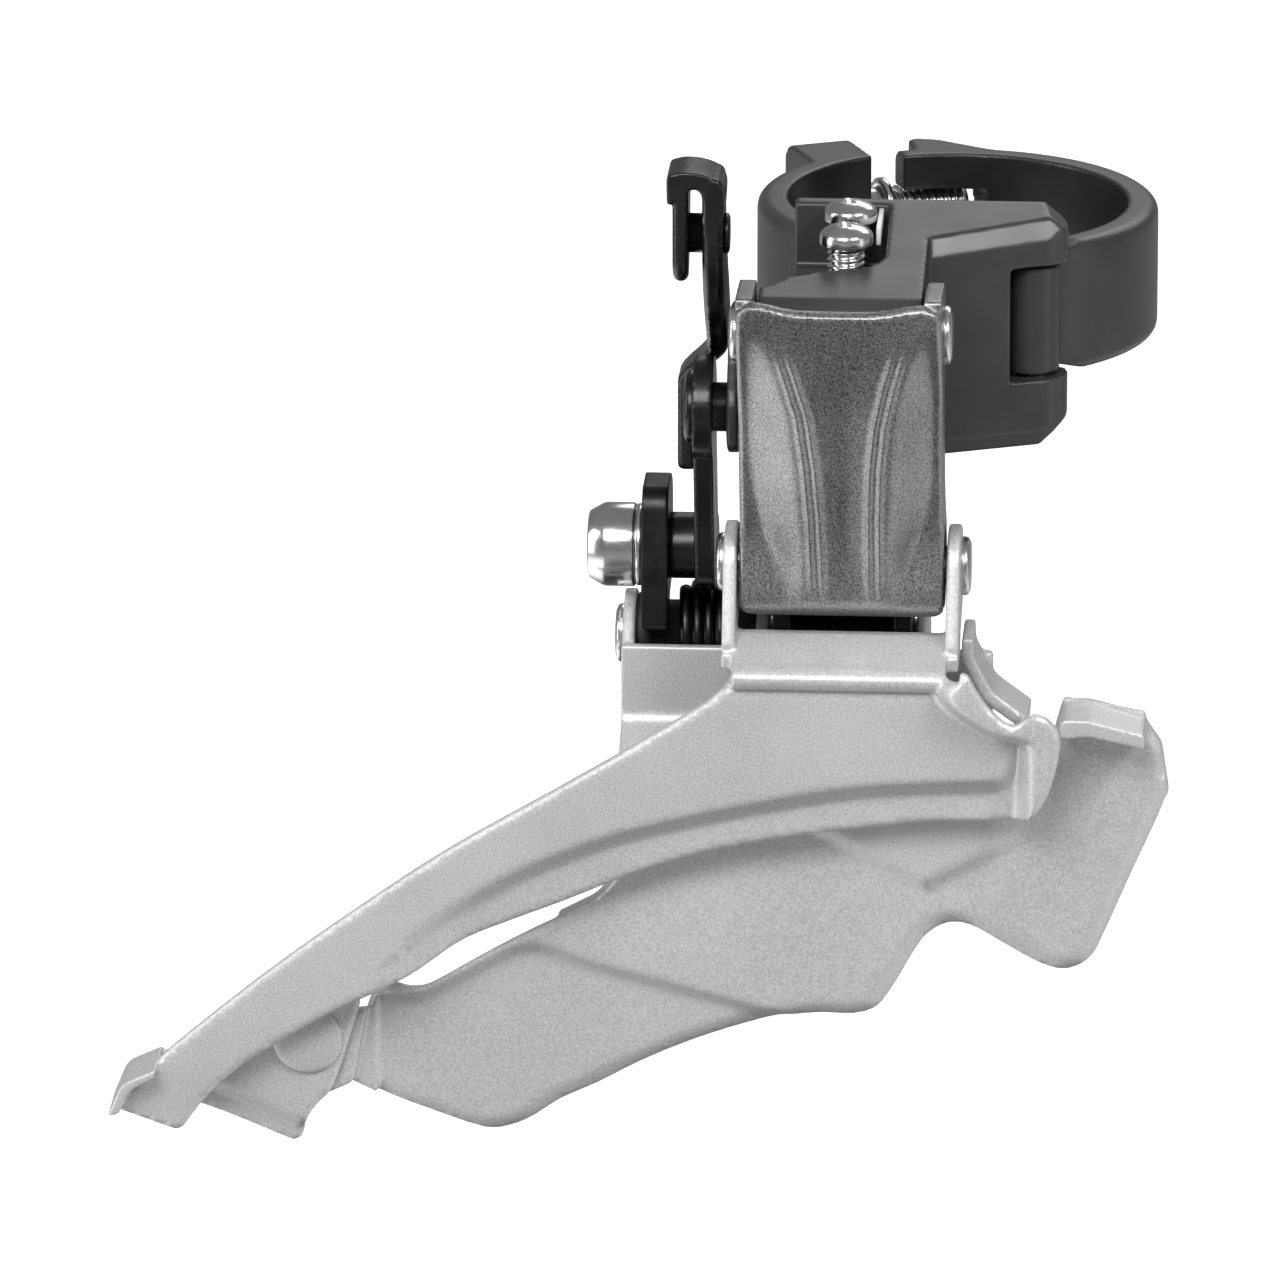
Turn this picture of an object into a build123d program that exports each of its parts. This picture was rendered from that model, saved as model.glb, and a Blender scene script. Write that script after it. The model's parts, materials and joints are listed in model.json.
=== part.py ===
"""Front derailleur, down-swing, for a 34.9 mm seat tube. Millimetres.

Frame: +Z runs up the seat tube, +X points to the front of the bike and -Y away from the bike.
The origin is on the seat tube's axis at mid-height of the clamp band.
"""

import math
import os

from build123d import *

# --- clamp ---------------------------------------------------------------------------------
TUBE_R = 17.45  # 34.9 mm seat tube
BAND_R = 20.6  # outside of the clamp ring
RING_Z = (-7.0, 7.0)  # fixed half of the ring
BAND_Z = (-7.0, 6.6)  # hinged half
RING_EDGE = 1.2  # rounding of the ring's outer edges
BOLT_AZ = 23.0  # direction of the clamp bolt, degrees from +X
BOLT_OUT = 20.9  # clamp bolt axis, measured from the tube axis
BOLT_R = 2.5
BOLT_TIP = 8.4
BOLT_HEAD_R = 4.0
BOLT_HEAD_FACE = -7.0  # seat of the head, along the bolt
BODY_LUG = (-9.6, -3.0)  # ends of the fixed lug, along the bolt
BAND_LUG_FACE = 1.8
LUG_OUT = 25.6
HINGE = (8.4, -19.8)
HINGE_PIN_R = 1.6
HINGE_PIN_Z = (-12.6, 9.4)
KNUCKLE_R = 2.8  # rolled end of the band
KNUCKLE_SLOT_R = 3.7  # slot in the body around it
KNUCKLE_Z = (-5.7, 5.7)
WING_BOTTOM = -13.0
TUBE_FACE = -17.6  # back of the body above and below the ring

# --- linkage: pins run along X, places are (Y, Z) -------------------------------------------
OUTER_TOP = (-39.0, 3.2)
INNER_TOP = (-29.0, -7.6)
LINK = (7.5, -26.4)  # from a top pin down to its bottom pin
OUTER_BOTTOM = (OUTER_TOP[0] + LINK[0], OUTER_TOP[1] + LINK[1])
INNER_BOTTOM = (INNER_TOP[0] + LINK[0], INNER_TOP[1] + LINK[1])
PIN_R = 2.0
LEVER_PIN_R = 2.5
RUN = 0.05  # radial running clearance of the pivots
OPEN_RUN = 0.2  # clearance at the pivot where the linkage is opened
SIDE = 0.3  # side clearance between the links

# X extents of the plates that sit on the pins
OUTER_LEFT = (-20.4, -18.7)
OUTER_RIGHT = (-1.5, 0.2)
INNER_LEFT = (-17.6, -15.8)
INNER_RIGHT = (-5.2, -3.4)
BOSS_X = (-15.4, -5.6)
BODY_LUG_X = (-22.0, -20.8)
EAR_LEFT = (-22.1, -20.7)
EAR_RIGHT = (0.5, 1.9)
SPRING_EAR_LEFT = (-32.9, -31.6)
SPRING_EAR_MIDDLE = (-19.4, -18.0)
SPRING_EAR_RIGHT = (-3.0, -1.7)
LEVER_X = (-25.4, -23.4)
PAD_X = (-27.6, -25.4)
RISER_X = (-24.5, -22.4)

# --- limit screws ---------------------------------------------------------------------------
SCREW_X = -10.0
SCREW_Y = {"low_limit_screw": -22.0, "high_limit_screw": -31.0}
SCREW_R = 1.95
SCREW_TIP = -3.2
SCREW_HEAD = 10.2  # underside of the head
SCREW_TRAVEL = 1.5
PLATEAU_SLOPE = 0.1755  # the top of the body falls away from the tube
PLATEAU_Z = 11.4  # its height at the back edge
PLATEAU_BACK = -18.0
POCKET_FLOOR = 7.0
WELL_FLOOR = 4.6  # deeper well around the limit screws
FRICTION_X = (-7.2, -6.75)

# --- cage -----------------------------------------------------------------------------------
PANEL_Y = (-45.2, -43.4)  # raised part of the outer plate
RIM_Y = (-43.4, -41.9)
INNER_Y = (-35.2, -33.8)
TAIL_Y = (-37.8, -36.6)  # folded end of the outer plate
TONGUE_Y = (-36.6, -35.2)  # end of the inner plate that is riveted behind it
TAIL_RIVET = (-64.4, -73.0)
RIVET_R = 1.75
BRACKET_Y = (-28.6, -27.4)  # wall that carries the inner bottom pin

# --- cable anchor ---------------------------------------------------------------------------
ANCHOR = (-22.0, -24.4)
ANCHOR_HEAD_X = (-36.6, -31.7)
ANCHOR_WASHER_X = (-31.7, -30.9)
ANCHOR_PLATE_X = (-30.9, -28.2)
ANCHOR_BOSS_X = (-28.2, -25.4)


def outline(corners):
    """Closed face through (u, v) or (u, v, fillet radius) corners."""
    points = [corner[:2] for corner in corners]
    radii = [corner[2] if len(corner) > 2 else 0 for corner in corners]
    if not any(radii):
        return make_face(Polyline(*points, close=True))
    return make_face(FilletPolyline(*points, radius=radii, close=True))


def along_x(sketch, x_range):
    """A (Y, Z) sketch extruded along X."""
    start, end = x_range
    return extrude(Plane.YZ.offset(start) * sketch, amount=end - start)


def along_y(sketch, y_range):
    """An (X, Z) sketch extruded along Y."""
    start, end = y_range
    return extrude(Plane.XZ.offset(-start) * sketch, amount=start - end)


def along_z(sketch, z_range):
    """An (X, Y) sketch extruded along Z."""
    start, end = z_range
    return extrude(Plane.XY.offset(start) * sketch, amount=end - start)


def disc(centre, radius):
    return Pos(*centre) * Circle(radius)


def rod_x(centre, radius, x_range):
    return along_x(disc(centre, radius), x_range)


def rod_z(centre, radius, z_range):
    return along_z(disc(centre, radius), z_range)


def box(x_range, y_range, z_range):
    size = [high - low for low, high in (x_range, y_range, z_range)]
    middle = [(high + low) / 2 for low, high in (x_range, y_range, z_range)]
    return Pos(*middle) * Box(*size)


def stadium(a, b, radius):
    """Two discs and the strip between them."""
    length = math.dist(a, b)
    turn = math.degrees(math.atan2(b[1] - a[1], b[0] - a[0]))
    middle = ((a[0] + b[0]) / 2, (a[1] + b[1]) / 2)
    strip = Pos(*middle) * Rot(0, 0, turn) * Rectangle(length, 2 * radius)
    return disc(a, radius) + strip + disc(b, radius)


def beside(pin, out, down):
    """(Y, Z) point at a distance outboard of a pin and down along the links."""
    length = math.hypot(*LINK)
    along = (LINK[0] / length, LINK[1] / length)
    outward = (along[1], -along[0])
    return (pin[0] + outward[0] * out + along[0] * down, pin[1] + outward[1] * out + along[1] * down)


def plateau_z(y):
    return PLATEAU_Z + PLATEAU_SLOPE * (y - PLATEAU_BACK)


def bolt_frame(solid):
    """Place a solid drawn with +X along the clamp bolt and +Y away from the tube."""
    return Rot(0, 0, BOLT_AZ) * solid


def ring_sector(start, end, height):
    """Clamp ring between two azimuths, in degrees, with rounded outer edges."""
    ring = rod_z((0, 0), BAND_R, height)
    ring = fillet(ring.edges().filter_by(GeomType.CIRCLE), RING_EDGE)
    reach = 40.0
    spread = end - start
    fan = [(0, 0)]
    for step in range(5):
        turn = math.radians(start + spread * step / 4)
        fan.append((reach * math.cos(turn), reach * math.sin(turn)))
    return ring & along_z(outline(fan), height)


# --- bracket --------------------------------------------------------------------------------
def body_block():
    """Plateau block with the limit screws, cut to the slope of its top."""
    plan = outline([(-17.9, -41.0, 1.0), (-17.9, -38.6, 1.2), (-15.8, -36.2, 1.0), (-15.8, -15.0),
                    (-1.9, -15.0), (-1.9, -41.0, 1.0)])
    block = along_z(plan, (-2.3, 14.0))
    front = along_x(outline([(-41.0, -2.3), (-41.0, -6.0), (-39.4, -11.0), (-37.6, -11.0), (-35.0, -2.3)]),
                    BOSS_X)
    barrel = rod_x(OUTER_TOP, 4.6, (-18.4, -1.9))
    boss = along_x(stadium(INNER_TOP, (INNER_TOP[0], 0.0), 4.8), BOSS_X)
    return block + front + barrel + boss


def wing_cutter(profile, tilt):
    """Prism of an (across, Z) profile along the front of the wing, rising by the tilt."""
    prism = extrude(Plane.YZ.offset(-16.0) * outline(profile), amount=26.0)
    return bolt_frame(Rot(0, -tilt, 0) * prism)


def body_wing():
    """Right half of the body, which carries the hinge of the band."""
    plan = outline([(-2.0, -28.0), (9.0, -23.4, 2.0), (12.0, -21.6, 1.5), (12.0, -18.5, 1.5),
                    (9.0, -14.5), (-2.0, -14.5)])
    wing = along_z(plan, (WING_BOTTOM, 14.0))
    wing += rod_z(HINGE, KNUCKLE_SLOT_R - 0.1, (WING_BOTTOM, 14.0))
    wing -= wing_cutter([(-23.25, 11.77), (-26.0, 6.93), (-28.0, 14.0), (-23.25, 14.0)], 3.92)
    wing -= wing_cutter([(-26.0, -9.3), (-23.5, -14.3), (-28.0, -14.3)], 0.0)
    wing -= along_y(outline([(14.0, -8.3), (14.0, -16.0), (6.3, -16.0)]), (-30.0, -10.0))
    wing -= along_y(outline([(8.8, 12.0), (13.1, 8.4), (14.0, 14.0), (8.8, 14.0)]), (-30.0, -10.0))
    return wing


def top_cutter():
    """Everything above the sloping plateau."""
    side = [(-60.0, plateau_z(-60.0)), (0.0, plateau_z(0.0)), (0.0, 40.0), (-60.0, 40.0)]
    return along_x(outline(side), (-40.0, 40.0))


def pocket():
    """Recess around the heads of the limit screws, open to the left."""
    plan = outline([(-20.0, -38.6), (-17.3, -38.0), (-15.8, -36.1), (-11.7, -34.4), (-7.4, -33.4, 1.0),
                    (-6.1, -31.2, 1.0), (-6.1, -19.2), (-20.0, -19.2)])
    well = outline([(-20.0, -34.0), (-10.4, -33.2), (-7.4, -32.6, 1.0), (-6.1, -30.6, 1.0), (-6.1, -19.2),
                    (-20.0, -19.2)])
    return along_z(plan, (POCKET_FLOOR, 20.0)) + along_z(well, (WELL_FLOOR, 20.0))


def bolt_rod(radius, ends):
    """Rod on the clamp bolt's axis, in the bolt's frame."""
    start, end = ends
    return Pos((start + end) / 2, BOLT_OUT, 0) * Rot(0, 90, 0) * Cylinder(radius, end - start)


def clamp_body():
    body = body_block() + body_wing()
    body += ring_sector(113.0, 262.0, RING_Z)
    back = outline([(-15.8, -24.0), (-15.8, -12.0), (0.0, -14.0), (0.0, -23.4), (-8.0, -23.4)])
    body += along_z(back, RING_Z)
    lug = box(BODY_LUG, (TUBE_R - 2.0, LUG_OUT), RING_Z)
    body += bolt_frame(fillet(lug.edges().filter_by(Axis.X).group_by(Axis.Y)[-1], 2.0))
    pin_lug = along_x(stadium(INNER_TOP, (INNER_TOP[0] + 3.6, -3.0), 4.6), BODY_LUG_X)
    web = box((BODY_LUG_X[0], -15.0), (-30.6, -20.6), (-2.3, 1.4))
    body += pin_lug + web
    body -= top_cutter()
    body -= rod_z((0, 0), TUBE_R, (-30.0, 30.0))
    body -= box((-30.0, 30.0), (TUBE_FACE, 0.0), (RING_Z[1], 30.0))
    body -= box((-30.0, 30.0), (TUBE_FACE, 0.0), (-30.0, RING_Z[0]))
    body -= box((0.0, 30.0), (TUBE_FACE, 0.0), (KNUCKLE_Z[1] + SIDE, 30.0))
    body -= box((0.0, 30.0), (TUBE_FACE, 0.0), (-30.0, KNUCKLE_Z[0] - SIDE))
    slot_z = (KNUCKLE_Z[0] - SIDE, KNUCKLE_Z[1] + SIDE)
    knuckle = rod_z(HINGE, KNUCKLE_SLOT_R, slot_z)
    mouth = outline([(6.7, -26.0), (20.0, -26.0), (20.0, -10.0), (9.0, -10.0), (5.0, -18.0)])
    body -= knuckle + along_z(mouth, slot_z)
    body -= rod_z(HINGE, HINGE_PIN_R, (-20.0, HINGE_PIN_Z[1]))
    body -= rod_x(OUTER_TOP, PIN_R + RUN, (-30.0, 10.0))
    body -= rod_x(INNER_TOP, LEVER_PIN_R + RUN, (-30.0, -5.0))
    body -= pocket()
    for y in SCREW_Y.values():
        body -= rod_z((SCREW_X, y), SCREW_R + RUN, (SCREW_TIP - SCREW_TRAVEL - 0.3, 20.0))
    bolt_way = bolt_rod(BOLT_R + 0.1, (-30.0, 0.0)) + bolt_rod(BOLT_HEAD_R + 0.15, (-16.0, BOLT_HEAD_FACE))
    body -= bolt_frame(bolt_way)
    body -= bolt_frame(box((BODY_LUG[1], 12.0), (0.0, 40.0), (-10.0, 10.0)))
    return body


def clamp_band():
    """Hinged half of the ring, with a slotted lug that swings off the bolt."""
    band = ring_sector(-62.0, 111.0, BAND_Z)
    lug = outline([(BAND_LUG_FACE, TUBE_R - 3.0), (3.4, 24.4, 1.0), (6.4, 22.6, 3.0), (11.0, 16.0),
                   (8.0, 14.0)])
    band += bolt_frame(along_z(lug, BAND_Z))
    taper = outline([(3.0, KNUCKLE_Z[1]), (8.0, BAND_Z[1] + 0.2), (8.0, 20.0), (-12.0, 20.0),
                     (-12.0, KNUCKLE_Z[1])])
    taper += outline([(3.0, KNUCKLE_Z[0]), (8.0, BAND_Z[0] - 0.2), (8.0, -20.0), (-12.0, -20.0),
                      (-12.0, KNUCKLE_Z[0])])
    cutter = extrude(Plane.XZ.offset(-20.0) * taper, amount=40.0)
    band -= Pos(*HINGE, 0) * Rot(0, 0, 51.0) * cutter
    band += rod_z(HINGE, KNUCKLE_R, KNUCKLE_Z)
    band -= rod_z((0, 0), TUBE_R, (-30.0, 30.0))
    band -= rod_z(HINGE, HINGE_PIN_R + RUN, (-20.0, 20.0))
    slot_half = BOLT_R + 0.25
    slot = box((-2.0, BOLT_TIP + 0.4), (14.0, BOLT_OUT + 0.6), (-slot_half, slot_half))
    slot += Pos(0, 0.6, 0) * bolt_rod(slot_half, (-2.0, 20.0))
    return band - bolt_frame(slot)


def ridged_rod(radius, start, end, pitch, depth):
    """Rod along +Z with a groove for each turn of its thread."""
    profile = [(0, start), (radius - depth, start)]
    turns = int((end - start - depth) / pitch)
    for turn in range(turns):
        low = start + depth + turn * pitch
        profile += [(radius, low), (radius, low + pitch * 0.25), (radius - depth, low + pitch * 0.6)]
        profile += [(radius - depth, low + pitch * 0.75)]
    profile += [(radius, end - depth), (radius, end), (0, end)]
    return revolve(Plane.XZ * outline(profile), Axis.Z)


def clamp_bolt():
    """M5 socket bolt that draws the band to the body."""
    thread = ridged_rod(BOLT_R, -BOLT_TIP, 0.0, 0.8, 0.4)
    bolt = thread + Pos(0, 0, -BOLT_HEAD_FACE / 2) * Cylinder(BOLT_R - 0.1, -BOLT_HEAD_FACE)
    head = Pos(0, 0, 1.9 - BOLT_HEAD_FACE) * Cylinder(BOLT_HEAD_R, 3.8)
    head = chamfer(head.edges().group_by(Axis.Z)[-1], 0.5)
    socket = extrude(Plane.XY.offset(1.2 - BOLT_HEAD_FACE) * RegularPolygon(2.3, 6), amount=4.0)
    bolt = bolt + head - socket
    return bolt_frame(Pos(0, BOLT_OUT, 0) * Rot(0, -90, 0) * bolt)


def bolt_retaining_ring():
    return bolt_frame(bolt_rod(3.4, (-0.9, 0.0)) - bolt_rod(BOLT_R - 0.1, (-2.0, 2.0)))


def limit_screw(y):
    """Cross-head screw that stops the linkage."""
    shank = ridged_rod(SCREW_R, SCREW_TIP, SCREW_HEAD, 0.7, 0.3)
    dome = Pos(0, 0, SCREW_HEAD + 1.1) * Cylinder(2.7, 2.2)
    dome = fillet(dome.edges().group_by(Axis.Z)[-1], 1.3)
    cross = Rectangle(3.2, 0.7) + Rectangle(0.7, 3.2)
    screw = shank + dome - extrude(Plane.XY.offset(SCREW_HEAD + 1.0) * cross, amount=3.0)
    return Pos(SCREW_X, y, 0) * screw


def screw_friction_plate():
    """Plastic strip beside the limit screws that keeps them from turning by themselves."""
    return box(FRICTION_X, (-26.5, -19.2), (8.9, 10.8))


# --- links ----------------------------------------------------------------------------------
def outer_link():
    """Channel-shaped outer link: two flanges joined by the outboard wall."""
    corners = [beside(OUTER_TOP, 6.5, -6.4), beside(OUTER_BOTTOM, 6.5, 3.0)]
    wall = outline([
        beside(OUTER_TOP, 6.5, -5.2),
        beside(OUTER_BOTTOM, 6.5, 2.6),
        beside(OUTER_BOTTOM, 4.9, 3.4),
        beside(OUTER_TOP, 4.9, -5.2)])
    flange = outline([
        (*corners[0], 1.2),
        (*corners[1], 2.0),
        (*beside(OUTER_BOTTOM, 1.0, 4.6), 2.0),
        (*beside(OUTER_BOTTOM, -4.2, 3.0), 2.5),
        (*beside(OUTER_BOTTOM, -4.2, -3.0), 2.5),
        (*beside(OUTER_BOTTOM, -1.2, -8.0), 4.0),
        (*beside(OUTER_TOP, -1.2, 8.0), 4.0),
        (*beside(OUTER_TOP, -4.0, 2.5), 2.0),
        (*beside(OUTER_TOP, -4.0, -4.0), 2.0)])
    link = along_x(wall, (OUTER_LEFT[0], OUTER_RIGHT[1]))
    link += along_x(flange, OUTER_LEFT) + along_x(flange, OUTER_RIGHT)
    link -= rod_x(OUTER_TOP, PIN_R, (-30.0, 10.0))
    link -= rod_x(OUTER_BOTTOM, PIN_R + RUN, (-30.0, 10.0))
    return link


def headed_pin(centre, radius, x_range, head_radius, left_head, right_head):
    """Pivot pin across x_range with a riveted head of the given thickness at each end."""
    start, end = x_range
    pin = rod_x(centre, radius, x_range)
    if left_head:
        pin += rod_x(centre, head_radius, (start - left_head, start))
    if right_head:
        pin += rod_x(centre, head_radius, (end, end + right_head))
    return pin


def outer_top_pin():
    return headed_pin(OUTER_TOP, PIN_R, (OUTER_LEFT[0], OUTER_RIGHT[1]), 3.0, 0.9, 0.9)


def inner_link():
    """Inner link with the cable lever plate outside the body lug."""
    flange = stadium(INNER_TOP, INNER_BOTTOM, 4.0)
    link = along_x(flange, INNER_LEFT) + along_x(flange, INNER_RIGHT)
    web = outline([
        beside(INNER_TOP, -1.8, 7.0),
        beside(INNER_BOTTOM, -1.8, -3.6),
        beside(INNER_BOTTOM, -3.4, -2.0),
        beside(INNER_TOP, -3.4, 7.0)])
    link += along_x(web, (INNER_LEFT[0], INNER_RIGHT[1]))
    link += rod_x(INNER_BOTTOM, 3.4, (INNER_LEFT[0], INNER_RIGHT[1]))
    link -= rod_x(INNER_TOP, LEVER_PIN_R, (-40.0, 10.0))
    return link - rod_x(INNER_BOTTOM, PIN_R + OPEN_RUN, (-40.0, 10.0))


def cable_lever():
    """Plate on the lever end of the top pin, which carries the cable anchor."""
    plate = stadium(INNER_TOP, (-24.5, ANCHOR[1]), 3.8) + disc(INNER_TOP, 5.4) + disc(ANCHOR, 3.4)
    lever = along_x(plate, LEVER_X)
    lever += rod_x(ANCHOR, 3.4, (ANCHOR_BOSS_X[0], LEVER_X[0]))
    lever -= rod_x(INNER_TOP, LEVER_PIN_R, (-40.0, 10.0))
    return lever - rod_x(ANCHOR, 2.5, (-40.0, LEVER_X[1] - 0.4))


def inner_top_pin():
    return headed_pin(INNER_TOP, LEVER_PIN_R, (LEVER_X[0], INNER_RIGHT[1]), 3.8, 1.0, 0.0)


def cable_arm():
    """Stamped arm with the hook that guides a cable coming from above."""
    pad = outline([(-23.2, -16.2, 1.0), (-17.8, -16.2, 1.0), (-17.8, -3.2), (-23.2, -5.6)])
    arm = along_x(pad, PAD_X)
    jog = outline([(-23.2, -5.6), (-17.8, -5.6), (-17.8, -3.2), (-23.2, -3.2)])
    arm += along_x(jog, (PAD_X[0], RISER_X[1]))
    riser = outline([
        (-23.2, -4.0),
        (-17.8, -4.0),
        (-18.4, 1.0, 3.0),
        (-25.0, 9.0, 5.0),
        (-27.6, 18.0, 1.5),
        (-34.4, 18.0, 1.5),
        (-34.4, 8.0, 3.0),
        (-28.6, 0.6, 2.0)])
    arm += along_x(riser, RISER_X)
    bridge = outline([(-34.4, 15.8), (-27.6, 15.8), (-27.6, 18.0), (-34.4, 18.0)])
    arm += along_x(bridge, (-28.0, RISER_X[1]))
    prong = outline([(-34.4, 18.0, 0.5), (-34.4, 6.6, 1.5), (-30.0, 6.6, 1.5), (-28.2, 18.0, 0.5)])
    arm += along_x(prong, (-28.0, -26.6))
    return arm


def cable_hook_pin():
    """Round post that the cable wraps in the hook."""
    post = rod_x((-31.0, 11.2), 2.0, (-26.6, RISER_X[0]))
    return post


def cable_bolt():
    head = rod_x(ANCHOR, 4.3, ANCHOR_HEAD_X)
    head = chamfer(head.edges().group_by(Axis.X)[0], 0.8)
    mouth = Plane.YZ.offset(ANCHOR_HEAD_X[0] - 1.0)
    socket = extrude(mouth * Pos(*ANCHOR) * RegularPolygon(2.8, 6), amount=4.0)
    return head - socket + rod_x(ANCHOR, 2.5, (ANCHOR_HEAD_X[1], LEVER_X[1] - 0.4))


def cable_washer():
    return rod_x(ANCHOR, 4.2, ANCHOR_WASHER_X) - rod_x(ANCHOR, 2.5, (-40.0, 0.0))


def cable_plate():
    """Grooved plate that the bolt presses on the cable."""
    side = outline([
        (-26.8, -17.2, 2.5),
        (-18.0, -17.2, 3.0),
        (-17.2, -28.0, 3.0),
        (-23.0, -29.4, 2.0),
        (-25.6, -31.8, 1.0),
        (-28.4, -31.8, 1.0),
        (-28.0, -25.0, 3.0)])
    plate = along_x(side, ANCHOR_PLATE_X)
    return plate - rod_x(ANCHOR, 2.5, (-40.0, 0.0))


# --- cage -----------------------------------------------------------------------------------
def outer_plate_rim():
    """Full outline of the outer cage plate."""
    return outline([
        (-84.0, -79.2, 0.5),
        (-68.2, -65.0, 30.0),
        (-49.8, -51.6, 60.0),
        (-31.0, -40.2, 30.0),
        (-22.2, -35.0, 4.0),
        (-20.6, -32.4, 2.0),
        (0.8, -32.4),
        (1.9, -32.4),
        (2.2, -31.4, 0.4),
        (3.2, -31.6, 0.6),
        (5.0, -34.6, 3.0),
        (7.6, -36.2, 0.5),
        (9.4, -35.0, 1.5),
        (12.6, -37.0, 2.0),
        (11.6, -43.0, 4.0),
        (9.4, -47.2, 2.5),
        (-4.0, -47.8, 20.0),
        (-24.6, -51.6, 60.0),
        (-38.2, -57.2, 60.0),
        (-48.6, -61.4, 20.0),
        (-53.4, -65.4, 10.0),
        (-61.6, -68.8, 30.0),
        (-71.0, -75.0, 10.0),
        (-77.0, -82.0, 0.8)])


def outer_plate_panel():
    """Raised upper part of the outer cage plate."""
    return outline([
        (-84.0, -79.2, 0.5),
        (-68.2, -65.0, 30.0),
        (-49.8, -51.6, 60.0),
        (-31.0, -40.2, 30.0),
        (-22.2, -35.0, 4.0),
        (-20.6, -32.4, 2.0),
        (0.8, -32.4, 1.0),
        (3.2, -34.8, 2.0),
        (7.8, -36.6, 1.0),
        (6.2, -42.6, 1.5),
        (-9.0, -43.6, 20.0),
        (-24.6, -46.6, 40.0),
        (-38.2, -51.2, 40.0),
        (-50.0, -58.6, 30.0),
        (-61.6, -68.4, 30.0),
        (-71.0, -75.0, 10.0),
        (-77.0, -82.0, 0.8)])


def cage_outer_plate():
    plate = along_y(outer_plate_rim(), RIM_Y) + along_y(outer_plate_panel(), PANEL_Y)
    shelf = outline([
        (PANEL_Y[0], -33.2),
        (PANEL_Y[0], -32.0),
        (-36.0, -29.4),
        (-34.2, -29.4),
        (-34.2, -30.8)])
    plate += along_x(shelf, (EAR_LEFT[0], EAR_RIGHT[1]))
    ear = outline([
        (-27.4, -18.9, 4.2),
        (-35.8, -18.9, 4.2),
        (-39.8, -30.6, 1.0),
        (-34.4, -31.6),
        (-34.2, -29.8),
        (-27.4, -27.6, 4.0)])
    plate += along_x(ear, EAR_LEFT) + along_x(ear, EAR_RIGHT)
    tail_flange = outline([(-84.4, -79.2), (-82.6, -76.0, 0.8), (-79.4, -74.8), (-80.2, -76.2),
                           (-83.0, -79.0)])
    plate += along_y(tail_flange, (PANEL_Y[0], TAIL_Y[1]))
    tail = outline([
        (-84.4, -79.2),
        (-82.6, -76.0, 0.8),
        (-79.4, -74.8),
        (-60.6, -69.6, 1.0),
        (-58.8, -72.0, 1.0),
        (-62.4, -79.8, 1.0),
        (-65.6, -84.4, 0.8),
        (-75.0, -80.8)])
    plate += along_y(tail, TAIL_Y)
    plate -= rivet(*TAIL_RIVET, RIVET_R, (-40.0, -30.0))
    return plate - rod_x(OUTER_BOTTOM, PIN_R, (-40.0, 20.0))


def cage_inner_plate():
    """Inner cage plate with the bracket for the inner bottom pin and the front bridge."""
    face = outline([
        (-60.8, -78.0, 1.5),
        (-52.0, -82.2, 10.0),
        (-45.6, -84.0, 3.0),
        (-38.8, -80.4, 5.0),
        (-20.0, -71.6, 30.0),
        (-12.0, -69.8, 4.0),
        (-7.6, -70.6, 2.5),
        (-5.0, -67.6, 4.0),
        (-1.6, -61.0, 3.0),
        (2.0, -59.4, 4.0),
        (12.6, -65.8, 4.0),
        (16.0, -62.8, 3.0),
        (23.2, -45.8, 2.0),
        (22.4, -40.6, 1.0),
        (20.8, -38.2, 0.5),
        (12.4, -37.0, 1.0),
        (11.4, -41.0, 3.0),
        (2.0, -43.0, 4.0),
        (-32.0, -43.6),
        (-32.0, -52.0, 3.0),
        (-34.6, -57.6, 3.0),
        (-53.0, -67.4, 4.0),
        (-57.6, -68.8, 1.0)])
    plate = along_y(face, INNER_Y)
    side = outline([
        (INNER_Y[0], -47.0),
        (INNER_Y[0], -44.6, 2.0),
        (BRACKET_Y[0], -41.0, 2.0),
        (BRACKET_Y[0], -33.2),
        (BRACKET_Y[1], -33.2),
        (BRACKET_Y[1], -41.6, 2.0),
        (INNER_Y[1], -45.4, 2.0),
        (INNER_Y[1], -47.0)])
    plate += along_x(side, (SPRING_EAR_LEFT[0], 5.0))
    tongue = outline([(-58.4, -70.0), (-59.8, -78.0, 1.0), (-64.0, -80.0, 1.0), (-70.6, -77.0, 1.0),
                      (-68.6, -72.0, 1.0)])
    plate += along_y(tongue, TONGUE_Y)
    plate -= rivet(*TAIL_RIVET, RIVET_R, (-40.0, -30.0))
    for x_range in (SPRING_EAR_LEFT, SPRING_EAR_MIDDLE, SPRING_EAR_RIGHT):
        radius = 4.6 if x_range == SPRING_EAR_LEFT else 3.6
        near = (BRACKET_Y[0] + radius, INNER_BOTTOM[1] - 3.0)
        ear = stadium(INNER_BOTTOM, near, radius)
        ear += Pos(BRACKET_Y[0] + 1.6, -37.0) * Rectangle(3.2, 5.0)
        plate += along_x(ear, x_range)
    tab = outline([(11.8, -38.4), (12.2, -36.2, 0.8), (15.2, -36.2), (20.8, -37.6, 0.4), (20.8, -39.2),
                   (15.2, -38.0)])
    plate += along_y(tab, (-41.8, INNER_Y[1]))
    bridge = outline([
        (3.2, -30.0),
        (3.2, -31.8, 3.0),
        (5.2, -35.6, 4.0),
        (9.0, -38.4),
        (8.4, -39.6),
        (4.2, -36.6, 4.0),
        (2.0, -32.2, 3.0),
        (2.0, -30.0)])
    plate += along_y(bridge, (RIM_Y[1], BRACKET_Y[1]))
    return plate - rod_x(INNER_BOTTOM, PIN_R, (-50.0, 20.0))


def outer_bottom_pin():
    return headed_pin(OUTER_BOTTOM, PIN_R, (EAR_LEFT[0], EAR_RIGHT[1]), 3.0, 0.9, 0.9)


def inner_bottom_pin():
    return headed_pin(INNER_BOTTOM, PIN_R, (SPRING_EAR_LEFT[0], SPRING_EAR_RIGHT[1]), 3.0, 0.9, 0.0)


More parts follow.
